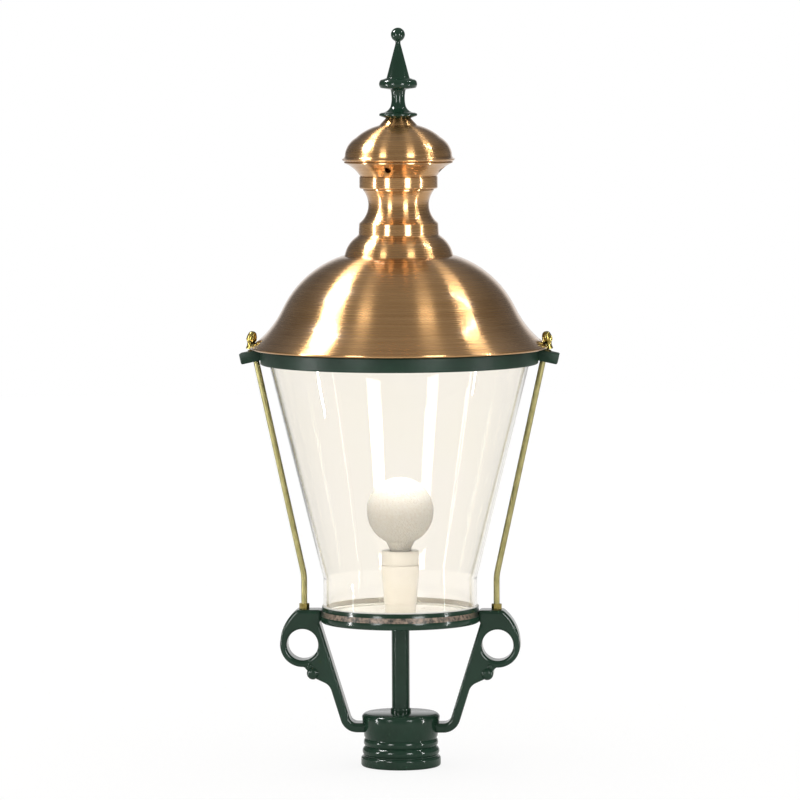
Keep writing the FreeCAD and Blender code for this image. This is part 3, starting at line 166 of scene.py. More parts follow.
def draw_wire(name: str, corners: Sequence[tuple[float, float]]) -> bpy.types.Object:
    """Draws a wire in the XZ plane by pulling one point from corner to corner.

    Args:
        name: The new piece's name.
        corners: Places along X and Z, in mm.

    Returns:
        The wire, open, with its last point selected in edit mode.
    """
    clear_selection()
    bpy.ops.mesh.primitive_plane_add(size=MM)
    piece = bpy.context.object
    piece.name = piece.data.name = name
    edit_all(piece)
    bpy.ops.mesh.merge(type="CENTER")
    here = Vector((0.0, 0.0, 0.0))
    for number, (x, z) in enumerate(corners):
        place = Vector((x * MM, 0.0, z * MM))
        if number == 0:
            bpy.ops.transform.translate(value=place)
        else:
            bpy.ops.mesh.extrude_region_move(TRANSFORM_OT_translate={"value": place - here})
        here = place
    return piece


def spin_wire(name: str, points: Sequence[Point], closed: bool = False, steps: int = 128,
              arc_step: float = 5.0) -> bpy.types.Object:
    """Turns an outline round the lantern's axis.

    Args:
        name: The new piece's name.
        points: Outline of radius and height in mm, as trace takes it.
        closed: Whether the outline returns to its start.
        steps: Divisions of the full turn.
        arc_step: Largest turn of one division of a round stretch, in degrees.

    Returns:
        The turned piece.
    """
    corners = trace(points, arc_step)
    if closed:
        corners.append(corners[0])
    piece = draw_wire(name, corners)
    bpy.ops.mesh.select_all(action="SELECT")
    bpy.ops.mesh.spin(steps=steps, angle=2 * math.pi, center=(0, 0, 0), axis=(0, 0, 1))
    bpy.ops.object.mode_set(mode="OBJECT")
    tidy_mesh(piece)
    return piece


def slab(name: str, points: Sequence[Point], depth: float) -> bpy.types.Object:
    """Fills an outline in the XZ plane and pulls it out to both sides of that plane.

    Args:
        name: The new piece's name.
        points: Closed outline of x and z in mm, as trace takes it.
        depth: Full depth along Y, in mm.

    Returns:
        The solid slab.
    """
    corners = trace(points)
    piece = draw_wire(name, corners + [corners[0]])
    bpy.ops.mesh.select_all(action="SELECT")
    bpy.ops.mesh.remove_doubles(threshold=MERGE_M)
    bpy.ops.mesh.select_all(action="SELECT")
    bpy.ops.mesh.edge_face_add()
    bpy.ops.transform.translate(value=(0, -depth / 2 * MM, 0))
    bpy.ops.mesh.extrude_region_move(TRANSFORM_OT_translate={"value": (0, depth * MM, 0)})
    bpy.ops.object.mode_set(mode="OBJECT")
    tidy_mesh(piece)
    return piece


def finish_with(piece: bpy.types.Object, kind: str, **settings: Any) -> bpy.types.Object:
    """Adds a modifier to a piece and applies it.

    Args:
        piece: The piece to change.
        kind: The modifier's type, such as "BEVEL".
        **settings: The modifier's settings.

    Returns:
        The same piece.
    """
    make_active(piece)
    modifier = piece.modifiers.new(kind.title(), kind)
    for key, value in settings.items():
        setattr(modifier, key, value)
    bpy.ops.object.modifier_apply(modifier=modifier.name)
    return piece


def soften(piece: bpy.types.Object, width: float, segments: int = 3, over: float = 32.0) -> None:
    """Rounds a piece's sharp edges.

    Args:
        piece: The piece to change.
        width: Width of the rounding, in mm.
        segments: Divisions across the rounding.
        over: Edges that bend by more than this many degrees are rounded.
    """
    finish_with(piece, "BEVEL", width=width * MM, segments=segments, limit_method="ANGLE",
                angle_limit=math.radians(over), use_clamp_overlap=True)


def cut_with(piece: bpy.types.Object, tool: bpy.types.Object) -> None:
    """Cuts one piece with another and removes the tool.

    Args:
        piece: The piece to change.
        tool: The solid that is cut away.
    """
    finish_with(piece, "BOOLEAN", operation="DIFFERENCE", object=tool, solver="EXACT")
    bpy.data.objects.remove(tool, do_unlink=True)


def drill(piece: bpy.types.Object, radius: float, depth: float, place: Sequence[float],
          turn: Sequence[float] = (0, 0, 0), sides: int = 32) -> None:
    """Cuts a round hole in a piece.

    Args:
        piece: The piece to change.
        radius: The hole's radius, in mm.
        depth: Full depth of the cut, in mm.
        place: Middle of the cut, in mm.
        turn: How the cut's axis is turned from upright, as Euler angles.
        sides: Number of sides of the cutter.
    """
    bpy.ops.mesh.primitive_cylinder_add(vertices=sides, radius=radius * MM, depth=depth * MM,
                                        location=Vector(place) * MM, rotation=turn)
    cut_with(piece, bpy.context.object)


def join_pieces(name: str, parts: Sequence[bpy.types.Object]) -> bpy.types.Object:
    """Joins several pieces into one, named as given.

    Args:
        name: The joined piece's name.
        parts: The pieces to join.

    Returns:
        The joined piece.
    """
    make_active(parts[0])
    for part in parts:
        part.select_set(True)
    bpy.ops.object.join()
    piece = bpy.context.object
    piece.name = piece.data.name = name
    return piece


def copy_piece(piece: bpy.types.Object, name: str, move: Matrix) -> bpy.types.Object:
    """Copies a piece with a mesh of its own and moves that mesh.

    Args:
        piece: The piece to copy.
        name: The copy's name.
        move: Where the copy goes, in metres.

    Returns:
        The copy.
    """
    copy = bpy.data.objects.new(name, piece.data.copy())
    copy.data.name = name
    bpy.context.scene.collection.objects.link(copy)
    copy.data.transform(move)
    if move.determinant() < 0:
        tidy_mesh(copy)
    return copy


def node_copy(node: str, name: str) -> bpy.types.Object:
    """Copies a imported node's mesh to a new piece, merged so that it can be worked on.

    Args:
        node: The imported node's name.
        name: The copy's name.

    Returns:
        The copy.
    """
    copy = bpy.data.objects.new(name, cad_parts[node].data.copy())
    copy.data.name = name
    copy.data.materials.clear()
    bpy.context.scene.collection.objects.link(copy)
    edit_all(copy)
    bpy.ops.mesh.remove_doubles(threshold=MERGE_M)
    bpy.ops.object.mode_set(mode="OBJECT")
    return copy


def smooth(piece: bpy.types.Object, angle: float = 35.0) -> None:
    """Shades a piece smooth, except over edges that bend by more than the angle in degrees."""
    make_active(piece)
    bpy.ops.object.shade_smooth_by_angle(angle=math.radians(angle), keep_sharp_edges=False)


# ------------------------------------------------------------------ finishes

NOISE_LOW, NOISE_HIGH = 0.32, 0.68  # nearly all of a noise texture lies between these


def add_node(tree: bpy.types.NodeTree, kind: str, settings: Optional[dict[str, Any]] = None,
             inputs: Optional[dict[Union[str, int], Any]] = None) -> bpy.types.Node:
    """Adds one shader node, with its settings, values and links.

    Args:
        tree: The node tree that gets it.
        kind: The node's class, such as "ShaderNodeTexNoise".
        settings: Its properties by name.
        inputs: Its inputs by name or number, each a value or another node's output.

    Returns:
        The new node.
    """
    node = tree.nodes.new(kind)
    for key, value in (settings or {}).items():
        setattr(node, key, value)
    for key, value in (inputs or {}).items():
        if isinstance(value, Socket):
            tree.links.new(value, node.inputs[key])
        else:
            node.inputs[key].default_value = value
    return node


@dataclass(frozen=True)
class Finish:
    """A surface finish. A subclass adds its pattern; plain ones only set these values.

    The colours are sRGB hex. second is the colour that drifts in, over drift_mm of surface.
    """

    name: str
    colour: str
    second: str
    drift_mm: float = 30.0
    metallic: float = 0.0
    roughness: float = 0.4
    rough_spread: float = 0.08
    grain_mm: float = 2.0
    grain_depth_mm: float = 0.02
    coat: float = 0.0
    coat_roughness: float = 0.05
    gleam: float = 0.5

    def place(self, tree: bpy.types.NodeTree) -> Socket:
        """Gives the coordinates that the pattern follows, in metres."""
        return add_node(tree, "ShaderNodeTexCoord").outputs["Object"]

    def grain(self, tree: bpy.types.NodeTree, place: Socket) -> Socket:
        """Gives the height pattern of the surface's fine grain, from 0 to 1."""
        noise = add_node(tree, "ShaderNodeTexNoise", inputs={
            "Vector": place, "Scale": 1 / (self.grain_mm * MM), "Detail": 3.0})
        return noise.outputs["Fac"]

    def tone(self, tree: bpy.types.NodeTree, place: Socket) -> Socket:
        """Gives how far the second colour has come in, from 0 to 1.

        Args:
            tree: The material's node tree.
            place: The pattern's coordinates.

        Returns:
            The share of the second colour, from 0 to 1.
        """
        noise = add_node(tree, "ShaderNodeTexNoise", inputs={
            "Vector": place, "Scale": 1 / (self.drift_mm * MM), "Detail": 4.0})
        spread = add_node(tree, "ShaderNodeMapRange", inputs={
            "Value": noise.outputs["Fac"], "From Min": NOISE_LOW, "From Max": NOISE_HIGH})
        return spread.outputs["Result"]

    def extras(self, tree: bpy.types.NodeTree, shader: bpy.types.Node, place: Socket) -> None:
        """Adds what only this finish has."""

    def build(self) -> bpy.types.Material:
        """Makes the material, or gives the one that was made before.

        Returns:
            The material.
        """
        made = bpy.data.materials.get(self.name)
        if made:
            return made
        material = bpy.data.materials.new(self.name)
        material.use_nodes = True
        tree = material.node_tree
        tree.nodes.clear()
        place = self.place(tree)
        tone, grain = self.tone(tree, place), self.grain(tree, place)
        colour = add_node(tree, "ShaderNodeMix", {"data_type": "RGBA"}, {
            0: tone, 6: linear(self.colour), 7: linear(self.second)})
        roughness = add_node(tree, "ShaderNodeMapRange", inputs={
            "Value": grain, "To Min": max(self.roughness - self.rough_spread, 0.0),
            "To Max": self.roughness + self.rough_spread})
        bump = add_node(tree, "ShaderNodeBump", inputs={
            "Height": grain, "Distance": self.grain_depth_mm * MM, "Strength": 1.0})
        shader = add_node(tree, "ShaderNodeBsdfPrincipled", inputs={
            "Base Color": colour.outputs[2], "Metallic": self.metallic,
            "Roughness": roughness.outputs["Result"], "Normal": bump.outputs["Normal"],
            "Coat Weight": self.coat, "Coat Roughness": self.coat_roughness,
            "Specular IOR Level": self.gleam})
        self.extras(tree, shader, place)
        output = add_node(tree, "ShaderNodeOutputMaterial")
        tree.links.new(shader.outputs["BSDF"], output.inputs["Surface"])
        return material


@dataclass(frozen=True)
class SpunSheet(Finish):
    """Sheet copper spun on a lathe, then brushed round with an abrasive pad and lacquered.

    The brushing leaves level rings: each ring has its own tone, and a lamp's reflection is
    drawn out across them into an upright streak.
    """

    ring_mm: float = 0.7
    band_mm: float = 4.0
    fine_mm: float = 1.19
    streak: float = 1.0
    quarter_turn: float = 0.25
    slope_share: float = -0.35
    fine_share: float = 0.6
    band_low: float = 0.58
    band_high: float = 1.05

    def place(self, tree: bpy.types.NodeTree) -> Socket:
        """Gives coordinates that run along the ring, and down the sheet in metres.

        Args:
            tree: The material's node tree.

        Returns:
            The coordinates.
        """
        spot = add_node(tree, "ShaderNodeTexCoord").outputs["Object"]
        flat = add_node(tree, "ShaderNodeVectorMath", {"operation": "MULTIPLY"},
                        {0: spot, 1: (1, 1, 0)}).outputs[0]
        radius = add_node(tree, "ShaderNodeVectorMath", {"operation": "LENGTH"}, {0: flat})
        around = add_node(tree, "ShaderNodeVectorMath", {"operation": "NORMALIZE"}, {0: flat})
        turn = add_node(tree, "ShaderNodeSeparateXYZ", inputs={0: around.outputs[0]})
        height = add_node(tree, "ShaderNodeSeparateXYZ", inputs={0: spot})
        down = add_node(tree, "ShaderNodeMath", {"operation": "MULTIPLY_ADD"},
                        {0: radius.outputs["Value"], 1: self.slope_share,
                         2: height.outputs["Z"]})
        return add_node(tree, "ShaderNodeCombineXYZ", inputs={
            "X": turn.outputs["X"], "Y": turn.outputs["Y"],
            "Z": down.outputs[0]}).outputs[0]

    def rings(self, tree: bpy.types.NodeTree, place: Socket, pitch: float, arc: float,
              detail: float) -> Socket:
        """Gives noise drawn out round the sheet.

        Args:
            tree: The node tree.
            place: The coordinates from place.
            pitch: Distance between rings, in mm.
            arc: How often a ring changes round the sheet.
            detail: The noise's detail.

        Returns:
            The noise, from 0 to 1.
        """
        drawn = add_node(tree, "ShaderNodeVectorMath", {"operation": "MULTIPLY"},
                         {0: place, 1: (arc, arc, 1 / (pitch * MM))}).outputs[0]
        noise = add_node(tree, "ShaderNodeTexNoise", inputs={
            "Vector": drawn, "Scale": 1.0, "Detail": detail, "Roughness": 0.6})
        return noise.outputs["Fac"]

    def grain(self, tree: bpy.types.NodeTree, place: Socket) -> Socket:
        """Gives the fine brushed rings."""
        return self.rings(tree, place, self.ring_mm, arc=0.7, detail=2.0)

    def tone(self, tree: bpy.types.NodeTree, place: Socket) -> Socket:
        """Gives darker and lighter bands of rings, with a few strong streaks.

        Args:
            tree: The material's node tree.
            place: The pattern's coordinates.

        Returns:
            The share of the second colour, from 0 to 1.
        """
        broad = self.rings(tree, place, self.band_mm, arc=0.8, detail=3.0)
        fine = self.rings(tree, place, self.fine_mm, arc=1.4, detail=3.0)
        mixed = add_node(tree, "ShaderNodeMath", {"operation": "MULTIPLY_ADD"},
                         {0: fine, 1: self.fine_share, 2: broad}).outputs[0]
        spread = add_node(tree, "ShaderNodeMapRange", inputs={
            "Value": mixed, "From Min": self.band_low, "From Max": self.band_high})
        return spread.outputs["Result"]

    def extras(self, tree: bpy.types.NodeTree, shader: bpy.types.Node, place: Socket) -> None:
        """Draws reflections out across the brushed rings.

        Args:
            tree: The material's node tree.
            shader: The finish's shader.
            place: The pattern's coordinates.
        """
        ring_way = add_node(tree, "ShaderNodeTangent", {"direction_type": "RADIAL", "axis": "Z"})
        tree.links.new(ring_way.outputs["Tangent"], shader.inputs["Tangent"])
        shader.inputs["Anisotropic"].default_value = self.streak
        shader.inputs["Anisotropic Rotation"].default_value = self.quarter_turn


@dataclass(frozen=True)
class CastPaint(Finish):
    """Two-pack gloss enamel over a sand casting.

    Under the gloss the sand's texture shows as soft pits a few millimetres across.
    """

    sand_mm: float = 5.0
    peel_share: float = 0.25

    def grain(self, tree: bpy.types.NodeTree, place: Socket) -> Socket:
        """Gives the soft sand texture with a little orange peel on it.

        Args:
            tree: The material's node tree.
            place: The pattern's coordinates.

        Returns:
            The height, about 0 to 1.
        """
        sand = add_node(tree, "ShaderNodeTexNoise", inputs={
            "Vector": place, "Scale": 1 / (self.sand_mm * MM), "Detail": 2.0})
        peel = add_node(tree, "ShaderNodeTexNoise", inputs={
            "Vector": place, "Scale": 1 / (self.grain_mm * MM), "Detail": 1.0})
        return add_node(tree, "ShaderNodeMath", {"operation": "MULTIPLY_ADD"},
                        {0: peel.outputs["Fac"], 1: self.peel_share,
                         2: sand.outputs["Fac"]}).outputs[0]


@dataclass(frozen=True)
class BevelReflectionPaint(CastPaint):
    """Green enamel with a painted reflection of the copper hood: warm beige, mottled, most at
    the front and the back of a ring.
    """

    ring_r_mm: float = 93.0
    reflection_to: float = 0.55
    enamel_from: float = 0.97

    def tone(self, tree: bpy.types.NodeTree, place: Socket) -> Socket:
        """Gives the green enamel's share, in patches that grow to the ring's two sides; between
        them the painted reflection shows.

        Args:
            tree: The material's node tree.
            place: The pattern's coordinates.

        Returns:
            The share of the second colour, from 0 to 1.
        """
        patches = super().tone(tree, place)
        across = add_node(tree, "ShaderNodeSeparateXYZ", inputs={0: place}).outputs["X"]
        share = add_node(tree, "ShaderNodeMath", {"operation": "MULTIPLY"},
                         {0: across, 1: 1 / (self.ring_r_mm * MM)}).outputs[0]
        side = add_node(tree, "ShaderNodeMath", {"operation": "MULTIPLY"},
                        {0: share, 1: share}).outputs[0]
        enamel_share = add_node(tree, "ShaderNodeMapRange", inputs={
            "Value": side, "From Min": self.reflection_to,
            "From Max": self.enamel_from}).outputs["Result"]
        return add_node(tree, "ShaderNodeMath", {"operation": "MAXIMUM"},
                        {0: patches, 1: enamel_share}).outputs[0]


@dataclass(frozen=True)
class ClearGlass(Finish):
    """Clear blown or drawn glass: smooth, faintly warm, and slightly wavy."""

    ior: float = 1.47
    gleam: float = 0.2
    clear: float = 1.0

    def extras(self, tree: bpy.types.NodeTree, shader: bpy.types.Node, place: Socket) -> None:
        """Lets light through the glass."""
        shader.inputs["Transmission Weight"].default_value = self.clear
        shader.inputs["IOR"].default_value = self.ior


@dataclass(frozen=True)
class CrackledGlass(ClearGlass):
    """Ice glass: hot glass dipped in water, so its skin crazes into small facets."""

    craze_mm: float = 3.2
    line_share: float = 0.16
    wave_share: float = 0.45
    wave_depth: float = 0.8

    def grain(self, tree: bpy.types.NodeTree, place: Socket) -> Socket:
        """Gives the crazed cells, deep at their edges.

        Args:
            tree: The material's node tree.
            place: The pattern's coordinates.

        Returns:
            The height, about 0 to 2.
        """
        cells = add_node(tree, "ShaderNodeTexVoronoi", {"feature": "DISTANCE_TO_EDGE"},
                         {"Vector": place, "Scale": 1 / (self.craze_mm * MM)})
        lines = add_node(tree, "ShaderNodeMapRange", inputs={
            "Value": cells.outputs["Distance"], "From Max": self.line_share})
        waves = add_node(tree, "ShaderNodeTexNoise", inputs={
            "Vector": place, "Scale": 1 / (self.wave_share * self.craze_mm * MM),
            "Detail": 2.0})
        return add_node(tree, "ShaderNodeMath", {"operation": "MULTIPLY_ADD"}, {
            0: waves.outputs["Fac"], 1: self.wave_depth,
            2: lines.outputs["Result"]}).outputs[0]


# Spun and lacquered copper: warm brown with paler rings, and bright upright streaks
COPPER = SpunSheet("spun_copper", "BC8F5B", "CFA26E", metallic=1.0, roughness=0.27,
                   rough_spread=0.03, grain_depth_mm=0.003, coat=0.55, coat_roughness=0.15)
# Dark green gloss enamel; the second tone is where it lies thicker
GREEN_ENAMEL = CastPaint("green_gloss_enamel", "1D3527", "223D2F", drift_mm=40, roughness=0.14,
                         rough_spread=0.03, grain_mm=1.6, grain_depth_mm=0.07, gleam=0.3)
# The same green brushed on thinner, so it dries satin and hides the lamps' edges
GREEN_SATIN = CastPaint("green_satin_enamel", "1C3628", "223F30", drift_mm=30, roughness=0.38,
                        rough_spread=0.05, grain_mm=1.4, grain_depth_mm=0.08, gleam=0.18)
# Drawn brass rod that has dulled to olive
DRAWN_BRASS = Finish("dulled_drawn_brass", "9A9366", "868055", drift_mm=14, metallic=1.0,
                     roughness=0.42, grain_mm=0.9, grain_depth_mm=0.01)
# Turned and polished brass, brighter than the rods
TURNED_BRASS = Finish("turned_brass", "A89858", "86763C", drift_mm=6, metallic=1.0,
                      roughness=0.26, grain_mm=0.7, grain_depth_mm=0.01)
# The same brass painted nearly black: painted shade for the washers in the shadow under the
# thumb nuts
SHADED_WASHER_BRASS = Finish("brass_painted_shade", "4B4226", "2C2616", drift_mm=4, metallic=1.0,
                         roughness=0.5, grain_mm=0.7)
# Bevel of the gallery: a painted reflection of the copper hood in warm beige, mottled, with the
# green enamel at the ring's sides
BEVEL_PAINTED_REFLECTION = BevelReflectionPaint("bevel_painted_reflection", "AC9480", "232D24", drift_mm=4, roughness=0.3,
                          rough_spread=0.08, grain_mm=1.6, grain_depth_mm=0.08)
# Blown soda glass: clear, with only its rims and bend to show it
LANTERN_GLASS = ClearGlass("clear_lantern_glass", "FEFBF6", "FEFBF4", drift_mm=120,
                           roughness=0.0, rough_spread=0.0, grain_mm=60, grain_depth_mm=0.05)
# Ice glass of the bulb: pale and finely speckled, so that the inside is only hinted at
BULB_GLASS = CrackledGlass("crackled_bulb_glass", "FFFFFC", "F6EFE2", drift_mm=2.4,
                           roughness=0.06, rough_spread=0.04, grain_depth_mm=0.36, ior=1.14,
                           clear=0.55)
# Soft white silicone, a little warm, that lines the pocket under the glass
SILICONE = Finish("white_silicone", "F6F3EC", "EEEAE0", drift_mm=12, roughness=0.5, grain_mm=1.5)
# Urea moulding: bright white, faintly cream where it has aged
WHITE_UREA = Finish("white_urea_moulding", "F0EBE1", "E9E3D7", roughness=0.3, grain_mm=1.2,
                    coat=0.3)
# Fired steatite of the lampholder's insert: chalky off-white, with no gloss
STEATITE = Finish("unglazed_steatite", "E6E2D8", "DAD5C8", roughness=0.7, grain_mm=0.6)
# Pressed brass sheet of the contacts: yellow and bright
PLAIN_BRASS = Finish("pressed_brass", "C9A95A", "B08F45", metallic=1.0, roughness=0.3)
# Nickel plate on the bulb's cap: a warm, near-white metal
NICKEL = Finish("nickel_plate", "C9C4BA", "B5AFA4", drift_mm=6, metallic=1.0, roughness=0.22)
# Bead of soft solder: dull grey
SOLDER = Finish("soft_solder", "A9A9A6", "8E8E8C", drift_mm=2, metallic=1.0, roughness=0.5)
# Zinc plate on the steel fixings: cool grey, a little patchy
ZINC = Finish("zinc_plated_steel", "B9BCBC", "A6A79A", drift_mm=8, metallic=1.0, roughness=0.38)
# Aluminium tray with a thin pale paint, a little grey with handling
TRAY_PAINT = Finish("pale_tray_paint", "F8F5EF", "F1EDE5", drift_mm=35, roughness=0.3,
                    grain_mm=3.0, coat=0.2)
# Moulded EPDM rubber: matt black
SEAL_RUBBER = Finish("black_epdm", "1C1C1B", "262624", drift_mm=10, roughness=0.75,
                     grain_mm=0.8, grain_depth_mm=0.04)


# ------------------------------------------------------------------ packed sizes and carriers


def top_of(node: str) -> float:
    """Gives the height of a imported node's top, in mm."""
    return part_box(node)[1][2] / MM


def foot_of(node: str) -> float:
    """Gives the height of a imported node's foot, in mm."""
    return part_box(node)[0][2] / MM


def carry(piece: bpy.types.Object, body: str, finish: Finish, *nodes: str,
          angle: float = 35.0) -> bpy.types.Object:
    """Shades and dresses a piece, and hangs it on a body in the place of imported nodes.

    Args:
        piece: The piece to carry.
        body: The body that it moves with.
        finish: Its finish.
        *nodes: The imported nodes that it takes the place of.
        angle: Edges that bend by more than this many degrees stay crisp.

    Returns:
        The same piece.
    """
    smooth(piece, angle)
    piece.data.materials.clear()
    piece.data.materials.append(finish.build())
    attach(piece, body)
    if nodes:
        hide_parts(*nodes)
    return piece


# ------------------------------------------------------------------ spun copper hood


@dataclass
class CopperHood:
    """The bell-shaped dome with its rolled lip, and the four sheets of the chimney.

    Each outline is the outside of a sheet. The bell's heights are measured down from its top,
    and the others' up from the sheet's foot.
    """

    sheet: float = 1.2
    bell: Outline = ((52.6, 0), (67.4, 0, -118.8), (137.37, -61.82, 112), (175.1, -106.08))
    base: Outline = ((41, 39.2), (45.6, 39.2), (46.6, 38.2), (47.4, 25.2), (48.6, 24),
                     (49.6, 23, -34), (63.6, 2.4), (64.6, 0))
    neck: Outline = ((41.8, 40), (41.8, 38.2, 27), (46, 0))
    cup: Outline = ((62.8, 32), (64.2, 31.6), (64.2, 30.4), (62.9, 29.8, 36), (45.2, 14.4),
                    (45.6, 14.4), (46.2, 13.8), (46.2, 2, -2), (44.2, 0), (38, 0))
    cap: Outline = ((3.25, 50.6), (14.8, 50.6), (21.6, 43.3), (22.4, 42.4, -62), (50, 28, -28),
                    (62.9, 10), (63.2, 6.8, 5), (66.6, 3), (66.4, 1.8), (64.4, 0.2), (62.8, 0))
    lip_r: float = 1.8
    lip_lean: float = 55.5
    notch_x: float = 173.5
    notch_r: float = 8.6
    vent_r: float = 3.6
    vent_depth: float = 30.0
    vent_x: float = 55.0
    vent_z: float = 706.8
    vent_turn: float = 10.5
    vent_count: int = 4
    finish: Finish = COPPER

    def spun(self, name: str, outline: Outline, rise: float) -> bpy.types.Object:
        """Spins a sheet from its outside and gives it its thickness on the inside.

        Args:
            name: The sheet's name.
            outline: Its outside, as trace takes it.
            rise: Height that the outline counts from, in mm.

        Returns:
            The sheet.
        """
        piece = spin_wire(name, raise_by(outline, rise), steps=160, arc_step=4.0)
        return finish_with(piece, "SOLIDIFY", thickness=self.sheet * MM, offset=-1.0,
                           use_even_offset=True)

    def dome(self) -> bpy.types.Object:
        """Bell with a rolled lip, notched where the tie rods pass.

        Returns:
            The dome.
        """
        top = top_of("hood_dome")
        bell = self.spun("copper_bell", self.bell, top)
        lip_x, lip_z = self.bell[-1][0], self.bell[-1][1] + top
        lean = math.radians(self.lip_lean)
        clear_selection()
        bpy.ops.mesh.primitive_torus_add(
            major_segments=160, minor_segments=20, minor_radius=self.lip_r * MM,
            major_radius=(lip_x - self.lip_r * math.cos(lean)) * MM,
            location=(0, 0, (lip_z - self.lip_r * math.sin(lean)) * MM))
        roll = bpy.context.object
        bpy.ops.object.transform_apply(location=True, rotation=True, scale=True)
        for piece, side in product((bell, roll), Side):
            drill(piece, self.notch_r, THROUGH, (side.value * self.notch_x, 0, lip_z), sides=48)
        return join_pieces("copper_dome", [bell, roll])

    def cut_vents(self, cup: bpy.types.Object) -> None:
        """Cuts small round vents in the cup's flare.

        Args:
            cup: The cup to cut.
        """
        for turn in range(self.vent_count):
            angle = math.radians(-90 - self.vent_turn + 360 / self.vent_count * turn)
            out = Vector((math.cos(angle), math.sin(angle), 0))
            drill(cup, self.vent_r, self.vent_depth,
                  out * self.vent_x + Vector((0, 0, self.vent_z)),
                  out.to_track_quat("Z", "Y").to_euler())

    def build(self) -> Iterable[bpy.types.Object]:
        """Builds and dresses the five sheets.

        Returns:
            The finished pieces.
        """
        yield carry(self.dome(), "hood", self.finish, "hood_dome")
        for node, outline in (("chimney_base", self.base), ("chimney_neck", self.neck),
                              ("chimney_cup", self.cup), ("chimney_cap", self.cap)):
            piece = self.spun("copper_" + node, outline, foot_of(node))
            if node == "chimney_cup":
                self.cut_vents(piece)
            yield carry(piece, "hood", self.finish, node)


# ------------------------------------------------------------------ finial


@dataclass
class Finial:
    """Cast spike: two discs on a stem, a tall cone and a ball."""

    disc_r: float = 22.4
    disc_h: float = 2.9
    disc_t: float = 2.4
    stem_r: float = 8.9
    plate_r: float = 20.6
    plate_low: float = 35.45
    plate_t: float = 9.5
    cone_r: float = 13.6
    neck_r: float = 3.0
    ball_r: float = 8.3
    ball_h: float = 98.0
    foot_r: float = 14.8
    cove_r: float = 20.0
    cove_h: float = 6.5
    stem_low: float = 14.2
    stem_top: float = 33.6
    cone_rise: float = 2.25
    neck_h: float = 87.4
    edge: float = 0.8
    finish: Finish = GREEN_ENAMEL

    def build(self) -> Iterable[bpy.types.Object]:
        """Turns the outline, rounds its edges and dresses it.

        Returns:
            The finished pieces.
        """
        plate_top = self.plate_low + self.plate_t
        ball_root = self.ball_h - math.sqrt(self.ball_r ** 2 - self.neck_r ** 2)
        outline = [
            (0, 0), (self.foot_r, 0), (self.disc_r, self.disc_h),
            (self.disc_r, self.disc_h + self.disc_t), (self.cove_r, self.cove_h, -12),
            (self.stem_r, self.stem_low, -40), (self.stem_r, self.stem_top),
            (self.plate_r, self.plate_low, 7), (self.plate_r, plate_top),
            (self.cone_r, plate_top + self.cone_rise), (self.neck_r, self.neck_h),
            (self.neck_r, ball_root, self.ball_r), (0, self.ball_h + self.ball_r)]
        piece = spin_wire("green_finial", raise_by(outline, foot_of("finial")), steps=96,
                          arc_step=6.0)
        soften(piece, self.edge, 3, over=28)
        yield carry(piece, "hood", self.finish, "finial")


# ------------------------------------------------------------------ glass shade and bulb


@dataclass
class GlassShade:
    """Clear shade with a straight skirt, a tight bend and fire-polished rims."""

    foot_r: float = 91.0
    top_r: float = 155.3
    wall: float = 3.5
    skirt_h: float = 38.0
    bend_r: float = 5.0
    finish: Finish = LANTERN_GLASS

    def build(self) -> Iterable[bpy.types.Object]:
        """Turns the wall with a round at each rim.

        Returns:
            The finished pieces.
        """
        foot, top = foot_of("glass_shade"), top_of("glass_shade")
        lean = math.atan2(self.top_r - self.foot_r, top - foot - self.skirt_h)
        bend = foot + self.skirt_h
        tangent = self.bend_r * math.tan(lean / 2)
        slope = Vector((math.sin(lean), math.cos(lean)))
        half = self.wall / 2
        inner_bend = self.bend_r + self.wall
        inner_tangent = inner_bend * math.tan(lean / 2)
        corner_in = self.foot_r - self.wall
        inner_x = corner_in + inner_tangent * slope.x
        inner_z = bend + inner_tangent * slope.y
        outer_x = self.foot_r + tangent * slope.x
        outer_z = bend + tangent * slope.y
        piece = spin_wire("clear_shade", [
            (self.foot_r - half, foot, half), (self.foot_r, foot + half),
            (self.foot_r, bend - tangent, -self.bend_r), (outer_x, outer_z),
            (self.top_r, top - half, half), (self.top_r - half, top, half),
            (self.top_r - self.wall, top - half),
            (inner_x, inner_z, inner_bend), (corner_in, bend - inner_tangent),
            (corner_in, foot + half, half)], closed=True, steps=160)
        yield carry(piece, "glass", self.finish, "glass_shade", angle=60)


@dataclass
class BulbGlobe:
    """Hollow ice-glass globe, its join of neck and globe smoothed."""

    finish: Finish = BULB_GLASS

    def build(self) -> Iterable[bpy.types.Object]:
        """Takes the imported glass, merged so that it shades smoothly."""
        yield carry(node_copy("bulb_globe", "crackled_globe"), "bulb", self.finish,
                    "bulb_globe", angle=60)


@dataclass
class Lampholder:
    """White holder in two mouldings, with eased edges that leave a fine seam between them."""

    ease: float = 0.7
    finish: Finish = WHITE_UREA

    def build(self) -> Iterable[bpy.types.Object]:
        """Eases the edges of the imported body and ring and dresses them.

        Returns:
            The finished pieces.
        """
        for node in ("lampholder_body", "lampholder_ring"):
            piece = node_copy(node, node + "_eased")
            soften(piece, self.ease, 3, over=40)
            yield carry(piece, "base", self.finish, node)


# ------------------------------------------------------------------ cast base


